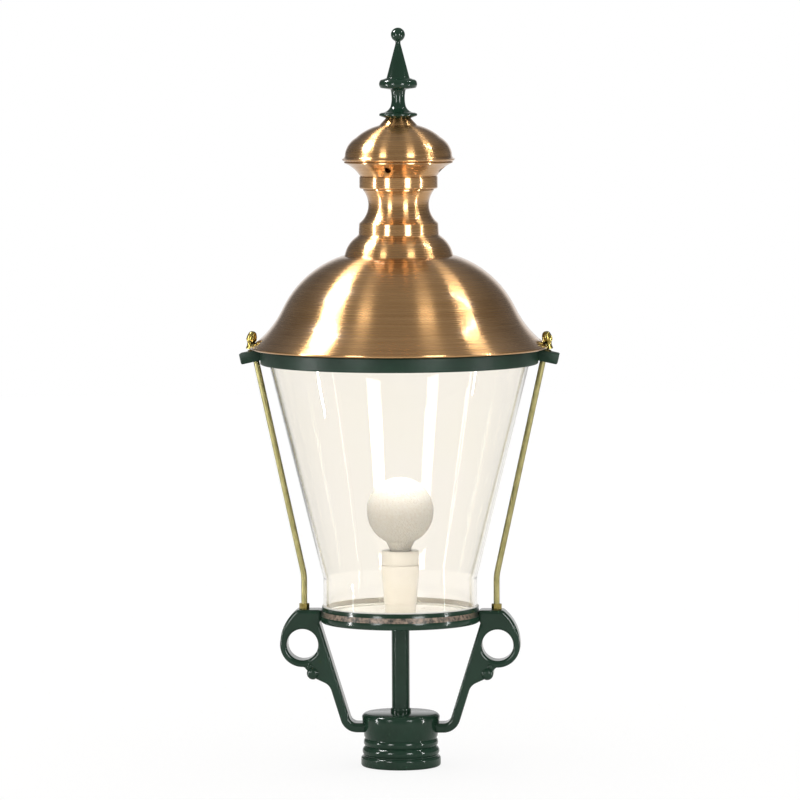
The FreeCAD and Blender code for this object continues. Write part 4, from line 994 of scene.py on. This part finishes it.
@dataclass
class CastBase:
    """Post socket, two arms with ring eyes and ears, and the gallery.

    The socket and the gallery are turned. The arms are sand cast: they are cut from a slab,
    rounded, then fused with their eyes so that the join gets a soft fillet; the knuckles and
    pips are joined on after that.
    """

    bore_r: float = 38.5
    bore_depth: float = 54.2
    socket_r: float = 46.2
    shoulder: float = 4.2
    shoulder_r: float = 7.0
    band_foot_r: float = 43.5
    foot_r: float = 47.2
    foot_h: float = 12.4
    foot_edge: float = 3.0
    bead_roots: tuple[float, float] = (43.75, 42.25)
    bead_h: float = 9.1
    bead_gap: float = 1.3
    bead_bow_r: float = 6.5
    groove_r: float = 42.6
    conduit_hole_r: float = 5.05
    arm_lean: float = 17.255
    arm_thick: float = 32.0
    arm_root_x: float = 40.0
    arm_foot_z: float = 40.7
    elbow_x: float = 51.4
    elbow_r: float = 20.0
    inner_x: float = 51.4
    inner_z: float = 51.8
    inner_r: float = 9.0
    hollow_z: float = 90.5
    hollow_r: float = 15.0
    hollow_lean: float = 66.0
    knuckle_x: float = 103.1
    knuckle_z: float = 111.0
    knuckle_r: float = 7.4
    pip_x: float = 106.9
    pip_z: float = 119.6
    pip_r: float = 3.6
    eye_x: float = 115.5
    eye_z: float = 145.0
    eye_r: float = 26.7
    eye_hole_r: float = 18.6
    gallery_r: float = 95.0
    gallery_edge: float = 0.5
    gallery_z: float = 171.2
    gallery_top_z: float = 190.5
    bevel_z: tuple[float, float] = (179.6, 185.4)
    rim_r: float = 93.0
    gallery_inner_r: float = 78.0
    gallery_corner_r: float = 4.0
    ledge_r: float = 83.5
    pocket_r: float = 91.8
    pocket_drop: float = 0.2
    skin: float = 0.08
    skin_root: float = 0.5
    ear_top_z: float = 186.5
    ear_half: float = 8.0
    brow_r: float = 51.0
    brow_in: float = 0.3
    rod_x: float = 114.0
    rod_hole_r: float = 3.6
    rod_hole_z: float = 180.5
    rod_hole_depth: float = 20.0
    rounding: float = 3.4
    let_in: float = 2.2
    knuckle_proud: float = 3.2
    pip_proud: float = 1.6
    bead_dome: float = 0.8
    cast_grain: float = 1.0
    finish: Finish = GREEN_ENAMEL

    def socket(self) -> bpy.types.Object:
        """Turned cup with a foot bead, two bowed beads and a band that flares to a shoulder.

        Returns:
            The socket.
        """
        top = foot_of("stem_tube")
        low = self.foot_h + self.bead_gap
        beads: list[Point] = []
        for root in self.bead_roots:
            beads += [(root, low, self.bead_bow_r), (root, low + self.bead_h)]
            low += self.bead_h + self.bead_gap
        return spin_wire("cast_socket", [
            (self.bore_r, 0), (self.foot_r - self.foot_edge, 0, self.foot_edge),
            (self.foot_r, self.foot_edge),
            (self.foot_r, self.foot_h - self.foot_edge, self.foot_edge),
            (self.foot_r - self.foot_edge, self.foot_h), (self.bead_roots[0], self.foot_h),
            *beads, (self.groove_r, low - self.bead_gap), (self.groove_r, low),
            (self.band_foot_r, low + self.bead_gap),
            (self.socket_r, top - self.shoulder, self.shoulder_r),
            (self.socket_r - self.shoulder, top),
            (self.conduit_hole_r, top), (self.conduit_hole_r, self.bore_depth),
            (self.bore_r, self.bore_depth)], closed=True, steps=144)

    def gallery(self) -> bpy.types.Object:
        """Turned ring with an inner ledge for the tray and a pocket for the glass.

        Returns:
            The gallery.
        """
        seat, tray, edge = top_of("gallery_tray"), foot_of("gallery_tray"), self.gallery_edge
        low, corner, top = self.gallery_z, self.gallery_corner_r, self.gallery_top_z
        return spin_wire("cast_gallery", [
            (self.gallery_inner_r, low), (self.gallery_r - corner, low, corner),
            (self.gallery_r, low + corner), (self.gallery_r, self.bevel_z[0]),
            (self.rim_r, self.bevel_z[1]), (self.rim_r, top - edge, edge),
            (self.rim_r - edge, top), (self.pocket_r, top - self.pocket_drop),
            (self.pocket_r, seat),
            (self.ledge_r, seat), (self.ledge_r, tray), (self.gallery_inner_r, tray)],
            closed=True, steps=160)

    def painted_reflection_bevel(self) -> bpy.types.Object:
        """Thin skin over the gallery's bevel, which carries a painted reflection of the copper
        hood.

        Returns:
            The skin.
        """
        low, high = self.bevel_z
        return spin_wire("gallery_bevel", [
            (self.gallery_r + self.skin, low), (self.rim_r + self.skin, high),
            (self.rim_r - self.skin_root, high), (self.gallery_r - self.skin_root, low)],
            closed=True, steps=160)

    def arm(self) -> bpy.types.Object:
        """The right arm as one rough slab: elbow, leaning bar, heel and ear.

        Returns:
            The slab, its edges rounded.
        """
        lean, heel = math.radians(self.arm_lean), math.radians(self.hollow_lean)
        bar_foot = self.arm_foot_z + self.elbow_r * (1 - math.sin(lean))
        bar_x = self.elbow_x + self.elbow_r * math.cos(lean)
        hollow_x = bar_x + (self.hollow_z - bar_foot) * math.tan(lean)
        heel_x = hollow_x + self.hollow_r * (math.cos(lean) - math.cos(heel))
        heel_z = self.hollow_z + self.hollow_r * (math.sin(heel) - math.sin(lean))
        slope_x = self.inner_x + self.inner_r * math.cos(lean)
        slope_z = self.inner_z + self.inner_r * (1 - math.sin(lean))
        top_x = slope_x + (self.gallery_z - slope_z) * math.tan(lean)
        ear_in = self.gallery_r - self.let_in
        piece = slab("arm_slab", [
            (self.arm_root_x, self.arm_foot_z), (self.elbow_x, self.arm_foot_z, self.elbow_r),
            (bar_x, bar_foot), (hollow_x, self.hollow_z, -self.hollow_r), (heel_x, heel_z),
            (self.knuckle_x, self.knuckle_z - self.knuckle_r + self.let_in),
            (self.eye_x, self.eye_z - self.eye_r + self.let_in),
            (self.eye_x + self.eye_r - self.brow_in, self.eye_z, self.brow_r),
            (self.rod_x + self.ear_half, self.ear_top_z), (ear_in, self.ear_top_z),
            (ear_in, self.gallery_z + self.gallery_corner_r), (top_x, self.gallery_z),
            (slope_x, slope_z, -self.inner_r), (self.inner_x, self.inner_z),
            (self.arm_root_x, self.inner_z)], self.arm_thick)
        soften(piece, self.rounding, 4, over=50)
        return piece

    def lie_across(self, piece: bpy.types.Object, x: float, z: float) -> bpy.types.Object:
        """Lays a turned piece's axis along Y, through a place in the arm's plane.

        Args:
            piece: The piece to lay down.
            x: Its place outwards, in mm.
            z: Its height, in mm.

        Returns:
            The same piece.
        """
        piece.data.transform(Matrix.Translation((x * MM, 0, z * MM))
                             @ Matrix.Rotation(math.pi / 2, 4, "X"))
        return piece

    def eye(self) -> bpy.types.Object:
        """The ring of the eye, a deep round-edged hoop in the arm's plane.

        Returns:
            The hoop.
        """
        half, edge = self.arm_thick / 2, self.rounding
        return self.lie_across(spin_wire("eye_ring", [
            (self.eye_hole_r + edge, -half), (self.eye_r - edge, -half, edge),
            (self.eye_r, edge - half), (self.eye_r, half - edge, edge),
            (self.eye_r - edge, half), (self.eye_hole_r + edge, half, edge),
            (self.eye_hole_r, half - edge), (self.eye_hole_r, edge - half, edge)],
            closed=True, steps=72), self.eye_x, self.eye_z)

    def bead(self, name: str, x: float, z: float, radius: float,
             proud: float) -> bpy.types.Object:
        """A round bead through the arm, domed where it stands proud of both faces.

        Args:
            name: The new piece's name.
            x: Its place outwards, in mm.
            z: Its height, in mm.
            radius: Its radius, in mm.
            proud: How far its domes stand out, in mm.

        Returns:
            The bead.
        """
        half, dome = self.arm_thick / 2 + proud, self.bead_dome * radius
        return self.lie_across(spin_wire(name, [
            (0, -half), (radius - dome, -half, dome), (radius, dome - half),
            (radius, half - dome, dome), (radius - dome, half), (0, half)], steps=48), x, z)

    def casting(self) -> bpy.types.Object:
        """Both arms, fused and smoothed, with their eyes open and their ears drilled.

        Returns:
            The two arms as one piece.
        """
        arm = self.arm()
        drill(arm, self.eye_hole_r + self.rounding, THROUGH, (self.eye_x, 0, self.eye_z),
              (math.pi / 2, 0, 0), sides=72)
        right = join_pieces("cast_arm", [arm, self.eye()])
        finish_with(right, "REMESH", mode="VOXEL", voxel_size=self.cast_grain * MM)
        finish_with(right, "SMOOTH", factor=0.5, iterations=4)
        drill(right, self.rod_hole_r, self.rod_hole_depth, (self.rod_x, 0, self.rod_hole_z))
        knuckle = self.bead("arm_knuckle", self.knuckle_x, self.knuckle_z, self.knuckle_r,
                            self.knuckle_proud)
        pip = self.bead("arm_pip", self.pip_x, self.pip_z, self.pip_r, self.pip_proud)
        right = join_pieces("cast_arm_right", [right, knuckle, pip])
        left = copy_piece(right, "cast_arm_left", Matrix.Rotation(math.pi, 4, "Z"))
        return join_pieces("cast_arms", [right, left])

    def build(self) -> Iterable[bpy.types.Object]:
        """Builds and dresses the socket, the gallery and the arms.

        Returns:
            The finished pieces.
        """
        yield carry(self.casting(), "base", self.finish, "cast_frame", angle=60)
        yield carry(self.socket(), "base", self.finish)
        yield carry(self.gallery(), "base", self.finish)
        # the bevel's skin carries a painted reflection of the copper hood
        yield carry(self.painted_reflection_bevel(), "base", BEVEL_PAINTED_REFLECTION)


# ------------------------------------------------------------------ seal under the glass


@dataclass
class SeatGasket:
    """Silicone channel in the gallery: a flat seat, and a thin lip up the pocket's wall."""

    inner_r: float = 84.6
    outer_r: float = 91.7
    lip: float = 0.6
    lip_h: float = 7.6
    finish: Finish = SILICONE

    def build(self) -> Iterable[bpy.types.Object]:
        """Turns the channel and dresses it.

        Returns:
            The finished pieces.
        """
        foot, top = foot_of("glass_seat_gasket"), top_of("glass_seat_gasket")
        lip_in = self.outer_r - self.lip
        piece = spin_wire("silicone_seat", [
            (self.inner_r, foot), (self.outer_r, foot), (self.outer_r, foot + self.lip_h),
            (lip_in, foot + self.lip_h), (lip_in, top), (self.inner_r, top)],
            closed=True, steps=160)
        yield carry(piece, "base", self.finish, "glass_seat_gasket")


# ------------------------------------------------------------------ crown ring


@dataclass
class CrownRing:
    """Cast hoop on the glass, with a flange, a spigot for the hood and two forked lugs."""

    hoop_low: float = 477.5
    hoop_top: float = 494.5
    hoop_inner_r: float = 158.0
    hoop_r: float = 164.0
    edge: float = 1.5
    flange_low: float = 488.5
    flange_top: float = 491.5
    flange_r: float = 136.0
    spigot_r: float = 152.0
    spigot_wall: float = 4.0
    lug_x: float = 170.7
    lug_z: float = 486.9
    lug_lean: float = 12.28
    lug_thick: float = 13.0
    lug_width: float = 22.0
    lug_reach: float = 17.4
    lug_root: float = 9.0
    lug_corner_r: float = 2.0
    lug_edge: float = 1.2
    fork_r: float = 4.0
    fork_length: float = 40.0
    finish: Finish = GREEN_SATIN

    def hoop(self) -> bpy.types.Object:
        """Turned hoop, flange and spigot.

        Returns:
            The hoop.
        """
        spigot_top = top_of("crown_ring")
        return spin_wire("cast_hoop", [
            (self.hoop_inner_r, self.hoop_low),
            (self.hoop_r - self.edge, self.hoop_low, self.edge),
            (self.hoop_r, self.hoop_low + self.edge),
            (self.hoop_r, self.hoop_top - self.edge, self.edge),
            (self.hoop_r - self.edge, self.hoop_top), (self.hoop_inner_r, self.hoop_top),
            (self.hoop_inner_r, self.flange_top), (self.spigot_r, self.flange_top),
            (self.spigot_r, spigot_top), (self.spigot_r - self.spigot_wall, spigot_top),
            (self.spigot_r - self.spigot_wall, self.flange_top),
            (self.flange_r, self.flange_top), (self.flange_r, self.flange_low),
            (self.hoop_inner_r, self.flange_low)], closed=True, steps=192)

    def lug(self) -> bpy.types.Object:
        """The right lug: a rounded block, forked where the rod passes.

        Returns:
            The lug, in its place.
        """
        half = self.lug_thick / 2
        piece = slab("cast_lug", [
            (-self.lug_root, -half),
            (self.lug_reach - self.lug_corner_r, -half, self.lug_corner_r),
            (self.lug_reach, self.lug_corner_r - half), (self.lug_reach, half),
            (-self.lug_root, half)], self.lug_width)
        drill(piece, self.fork_r, THROUGH, (0, 0, 0))
        bpy.ops.mesh.primitive_cube_add(size=1, location=(self.fork_length / 2 * MM, 0, 0))
        slot = bpy.context.object
        slot.scale = (self.fork_length * MM, 2 * self.fork_r * MM, THROUGH * MM)
        make_active(slot)
        bpy.ops.object.transform_apply(location=True, rotation=True, scale=True)
        cut_with(piece, slot)
        soften(piece, self.lug_edge, 3, over=40)
        lean = Matrix.Rotation(math.radians(self.lug_lean), 4, "Y")
        piece.data.transform(Matrix.Translation((self.lug_x * MM, 0, self.lug_z * MM)) @ lean)
        return piece

    def build(self) -> Iterable[bpy.types.Object]:
        """Builds and dresses the hoop and its lugs.

        Returns:
            The finished pieces.
        """
        right = self.lug()
        left = copy_piece(right, "cast_lug_left", Matrix.Rotation(math.pi, 4, "Z"))
        yield carry(self.hoop(), "hood", self.finish, "crown_ring")
        yield carry(join_pieces("cast_lugs", [right, left]), "hood", self.finish)


# ------------------------------------------------------------------ thumb nuts


@dataclass
class ThumbNut:
    """Brass thumb nut like a closed bud, fluted so that wet fingers can turn it."""

    side: Side
    lean: float = 12.28
    height: float = 21.5
    foot_r: float = 4.3
    foot_h: float = 1.2
    waist_r: float = 3.9
    waist_h: float = 3.4
    belly_r: float = 6.1
    belly_h: float = 10.5
    crown_r: float = 4.4
    crown_h: float = 19.3
    flutes: int = 7
    flute_r: float = 1.25
    flute_x: float = 6.35
    flute_z: float = 15.75
    flute_length: float = 40.0
    finish: Finish = TURNED_BRASS

    def build(self) -> Iterable[bpy.types.Object]:
        """Turns the bud, cuts its flutes and leans it along the rod.

        Returns:
            The finished pieces.
        """
        hand = self.side.name.lower()
        low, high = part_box(hand + "_knob")
        piece = spin_wire(hand + "_thumb_nut", [
            (0, 0), (self.foot_r, 0), (self.foot_r, self.foot_h),
            (self.waist_r, self.waist_h, -9), (self.belly_r, self.belly_h, 16),
            (self.crown_r, self.crown_h, 4.5), (0, self.height)], steps=56)
        for turn in range(self.flutes):
            angle = 2 * math.pi * (turn + 0.5) / self.flutes
            spot = (self.flute_x * math.cos(angle), self.flute_x * math.sin(angle), self.flute_z)
            drill(piece, self.flute_r, self.flute_length, spot, sides=16)
        lean = Matrix.Rotation(-self.side.value * math.radians(self.lean), 4, "Y")
        piece.data.transform(lean)
        spread = [corner.co.x for corner in piece.data.vertices]
        shift = (low.x + high.x) / 2 - (min(spread) + max(spread)) / 2
        foot = min(corner.co.z for corner in piece.data.vertices)
        piece.data.transform(Matrix.Translation((shift, 0, low.z - foot)))
        yield carry(piece, hand + "_thumb_nut", self.finish, hand + "_knob")


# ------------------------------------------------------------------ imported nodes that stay

NODE_FINISHES: tuple[tuple[Finish, str], ...] = (
    (GREEN_ENAMEL, "stem_tube stem_foot_collar"),
    (ZINC, "post_clamp_screws tray_screws conduit conduit_nut bridge_bar bridge_screws "
           "long_stud stud_nut"),
    (TRAY_PAINT, "gallery_tray"),
    (SEAL_RUBBER, "cable_bush glass_top_gasket"),
    (WHITE_UREA, "lampholder_base"),
    (STEATITE, "lampholder_insert"),
    (PLAIN_BRASS, "lampholder_screw_shell lampholder_contact"),
    (SOLDER, "bulb_tip_contact"),
    (NICKEL, "bulb_cap"),
    (LANTERN_GLASS, "bulb_mount"),
    (DRAWN_BRASS, "left_tie_rod right_tie_rod"),
    (TURNED_BRASS, "left_rod_nut right_rod_nut"),
    # the washers' near-black brass is painted shade under the thumb nuts
    (SHADED_WASHER_BRASS, "left_knob_washer right_knob_washer"),
)


def dress_nodes() -> Iterable[bpy.types.Object]:
    """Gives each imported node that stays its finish.

    Returns:
        The dressed nodes.
    """
    for finish, names in NODE_FINISHES:
        for name in names.split():
            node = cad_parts[name]
            node.data.materials.clear()
            node.data.materials.append(finish.build())
            yield node


# ------------------------------------------------------------------ studio and camera


@dataclass(frozen=True)
class StripLamp:
    """An upright lamp, narrow or wide, by its bearing from the lantern's front.

    It is there to be reflected, so its power sets the streaks and not the tone.
    """

    name: str
    bearing: float
    distance: float
    height: float
    width: float
    length: float
    power: float

    def place(self, centre: Vector) -> None:
        """Hangs the lamp and turns it to the lantern.

        Args:
            centre: The point that it lights, in metres.
        """
        data = bpy.data.lights.new(self.name, "AREA")
        data.shape, data.size, data.size_y = "RECTANGLE", self.width, self.length
        data.energy = self.power
        lamp = bpy.data.objects.new(self.name, data)
        angle = math.radians(self.bearing)
        lamp.location = (centre.x + self.distance * math.sin(angle),
                         centre.y - self.distance * math.cos(angle), self.height)
        aim = centre - lamp.location
        aim.z = 0.0
        lamp.rotation_euler = aim.to_track_quat("-Z", "Y").to_euler()
        lamp.visible_camera = lamp.visible_diffuse = False
        bpy.context.scene.collection.objects.link(lamp)


@dataclass
class Studio:
    """A pale sweep, six upright lamps, a soft fill under the hood and a white world.

    Reflections see a duller room than the camera does: around, beside, overhead and behind are
    its levels. front_y, rise_z and back_y are where one level turns into the next, as parts of
    a direction.
    """

    white: str = "F2F1EF"
    around: float = 0.27
    beside: float = 0.17
    overhead: float = 0.4
    behind: float = 0.9
    front_y: tuple[float, float] = (-0.2, 0.35)
    rise_z: tuple[float, float] = (0.5, 0.8)
    back_y: tuple[float, float] = (0.9, 0.97)
    fill_power: float = 1.55
    fill_size: float = 0.26
    fill_z: float = 0.474
    floor_glow: float = 0.8
    glow_strength: float = 1.04
    floor_r: float = 6.0
    aim: tuple[float, float, float] = (0.0, 0.0, 0.45)
    lamps: tuple[StripLamp, ...] = (
        StripLamp("left_low_strip", -71.5, 1.6, 0.31, 0.05, 0.82, 14.0),
        StripLamp("left_high_box", -91.0, 1.3, 2.1, 0.3, 0.9, 76.0),
        StripLamp("left_front_box", -30.0, 2.4, 0.85, 0.5, 0.99, 26.0),
        StripLamp("right_front_box", 30.0, 2.4, 0.85, 0.6, 0.99, 31.5),
        StripLamp("right_low_strip", 73.0, 1.8, 0.31, 0.03, 0.82, 9.0),
        StripLamp("right_high_box", 92.0, 1.4, 2.1, 0.03, 0.9, 13.0),
    )

    def sweep(self) -> None:
        """Lays a pale round floor, which glows to white but keeps a faint shadow."""
        clear_selection()
        bpy.ops.mesh.primitive_circle_add(vertices=96, radius=self.floor_r, fill_type="NGON")
        floor = bpy.context.object
        floor.name = "studio_floor"
        material = bpy.data.materials.new("white_paper_sweep")
        material.use_nodes = True
        tree = material.node_tree
        tree.nodes.clear()
        paper = add_node(tree, "ShaderNodeBsdfDiffuse", inputs={"Color": linear(self.white)})
        glow = add_node(tree, "ShaderNodeEmission", inputs={
            "Color": (1, 1, 1, 1), "Strength": self.glow_strength})
        seen = add_node(tree, "ShaderNodeMath", {"operation": "MULTIPLY"}, {
            0: self.seen_directly(tree), 1: self.floor_glow})
        mixed = add_node(tree, "ShaderNodeMixShader", inputs={
            0: seen.outputs[0], 1: paper.outputs[0], 2: glow.outputs[0]})
        output = add_node(tree, "ShaderNodeOutputMaterial")
        tree.links.new(mixed.outputs[0], output.inputs["Surface"])
        floor.data.materials.append(material)

    def seen_directly(self, tree: bpy.types.NodeTree) -> Socket:
        """Gives 1 for what the camera sees, also through glass.

        Args:
            tree: The node tree.

        Returns:
            The share, 0 or 1.
        """
        path = add_node(tree, "ShaderNodeLightPath")
        return add_node(tree, "ShaderNodeMath", {"operation": "MAXIMUM"}, {
            0: path.outputs["Is Camera Ray"],
            1: path.outputs["Is Transmission Ray"]}).outputs[0]

    def sky(self) -> None:
        """Fills the world with white, and gives reflections a duller room with a pale back."""
        world = bpy.data.worlds.new("white_studio")
        world.use_nodes = True
        bpy.context.scene.world = world
        tree = world.node_tree
        tree.nodes.clear()
        way = add_node(tree, "ShaderNodeSeparateXYZ", inputs={
            0: add_node(tree, "ShaderNodeTexCoord").outputs["Generated"]})
        level = add_node(tree, "ShaderNodeMapRange", inputs={
            "Value": way.outputs["Y"], "From Min": self.front_y[0], "From Max": self.front_y[1],
            "To Min": self.around, "To Max": self.beside}).outputs["Result"]
        above = add_node(tree, "ShaderNodeMapRange", inputs={
            "Value": way.outputs["Z"], "From Min": self.rise_z[0], "From Max": self.rise_z[1],
            "To Min": level, "To Max": self.overhead}).outputs["Result"]
        lit = add_node(tree, "ShaderNodeMapRange", inputs={
            "Value": way.outputs["Y"], "From Min": self.back_y[0], "From Max": self.back_y[1],
            "To Min": above, "To Max": self.behind}).outputs["Result"]
        path = add_node(tree, "ShaderNodeLightPath")
        strength = add_node(tree, "ShaderNodeMapRange", inputs={
            "Value": path.outputs["Is Glossy Ray"], "To Min": 1.0, "To Max": lit})
        back = add_node(tree, "ShaderNodeBackground", inputs={
            "Color": (1, 1, 1, 1), "Strength": strength.outputs["Result"]})
        output = add_node(tree, "ShaderNodeOutputWorld")
        tree.links.new(back.outputs[0], output.inputs["Surface"])

    def fill(self) -> None:
        """Hangs a soft round lamp under the hood, for the light thrown about in there."""
        data = bpy.data.lights.new("under_hood_fill", "AREA")
        data.shape, data.size, data.energy = "DISK", self.fill_size, self.fill_power
        lamp = bpy.data.objects.new("under_hood_fill", data)
        lamp.location = (0, 0, self.fill_z)
        lamp.visible_camera = lamp.visible_transmission = lamp.visible_glossy = False
        bpy.context.scene.collection.objects.link(lamp)

    def build(self) -> None:
        """Lays the floor, fills the world and hangs the lamps."""
        self.sweep()
        self.sky()
        for lamp in self.lamps:
            lamp.place(Vector(self.aim))
        self.fill()
        bpy.context.scene.view_settings.view_transform = "Standard"


@dataclass
class LongLens:
    """The camera, far off, slightly above and a little to the right of the front."""

    bearing: float = 3.5
    distance: float = 6.4
    height: float = 0.9125
    aim_z: float = 0.4344
    view_width: float = 0.944
    roll: float = -0.25
    slide: float = 0.6

    def build(self) -> None:
        """Places the camera and makes it the scene's own."""
        data = bpy.data.cameras.new("long_lens")
        data.sensor_width = 36.0
        camera = bpy.data.objects.new("long_lens", data)
        angle = math.radians(self.bearing)
        camera.location = (self.distance * math.sin(angle), -self.distance * math.cos(angle),
                           self.height)
        aim = Vector((0.0, 0.0, self.aim_z)) - camera.location
        level = aim.to_track_quat("-Z", "Y").to_matrix()
        camera.rotation_euler = (level @ Matrix.Rotation(math.radians(self.roll), 3,
                                                         "Z")).to_euler()
        data.lens = data.sensor_width * aim.length / self.view_width
        data.shift_x = self.slide * MM / self.view_width
        data.clip_start, data.clip_end = 0.1, 60.0
        bpy.context.scene.collection.objects.link(camera)
        bpy.context.scene.camera = camera


# ------------------------------------------------------------------ the whole lantern


def main() -> None:
    """Builds the sub-assemblies in order, then the studio and the camera."""
    logging.basicConfig(level=logging.INFO, format="%(name)s: %(message)s")
    parts = (CastBase(), SeatGasket(), Lampholder(), BulbGlobe(), GlassShade(), CrownRing(),
             ThumbNut(Side.LEFT), ThumbNut(Side.RIGHT), CopperHood(), Finial())
    for build in [part.build for part in parts] + [dress_nodes]:
        for piece in build():
            log.info("%s: %d faces", piece.name, len(piece.data.polygons))
    Studio().build()
    LongLens().build()


if __name__ == "__main__":
    main()
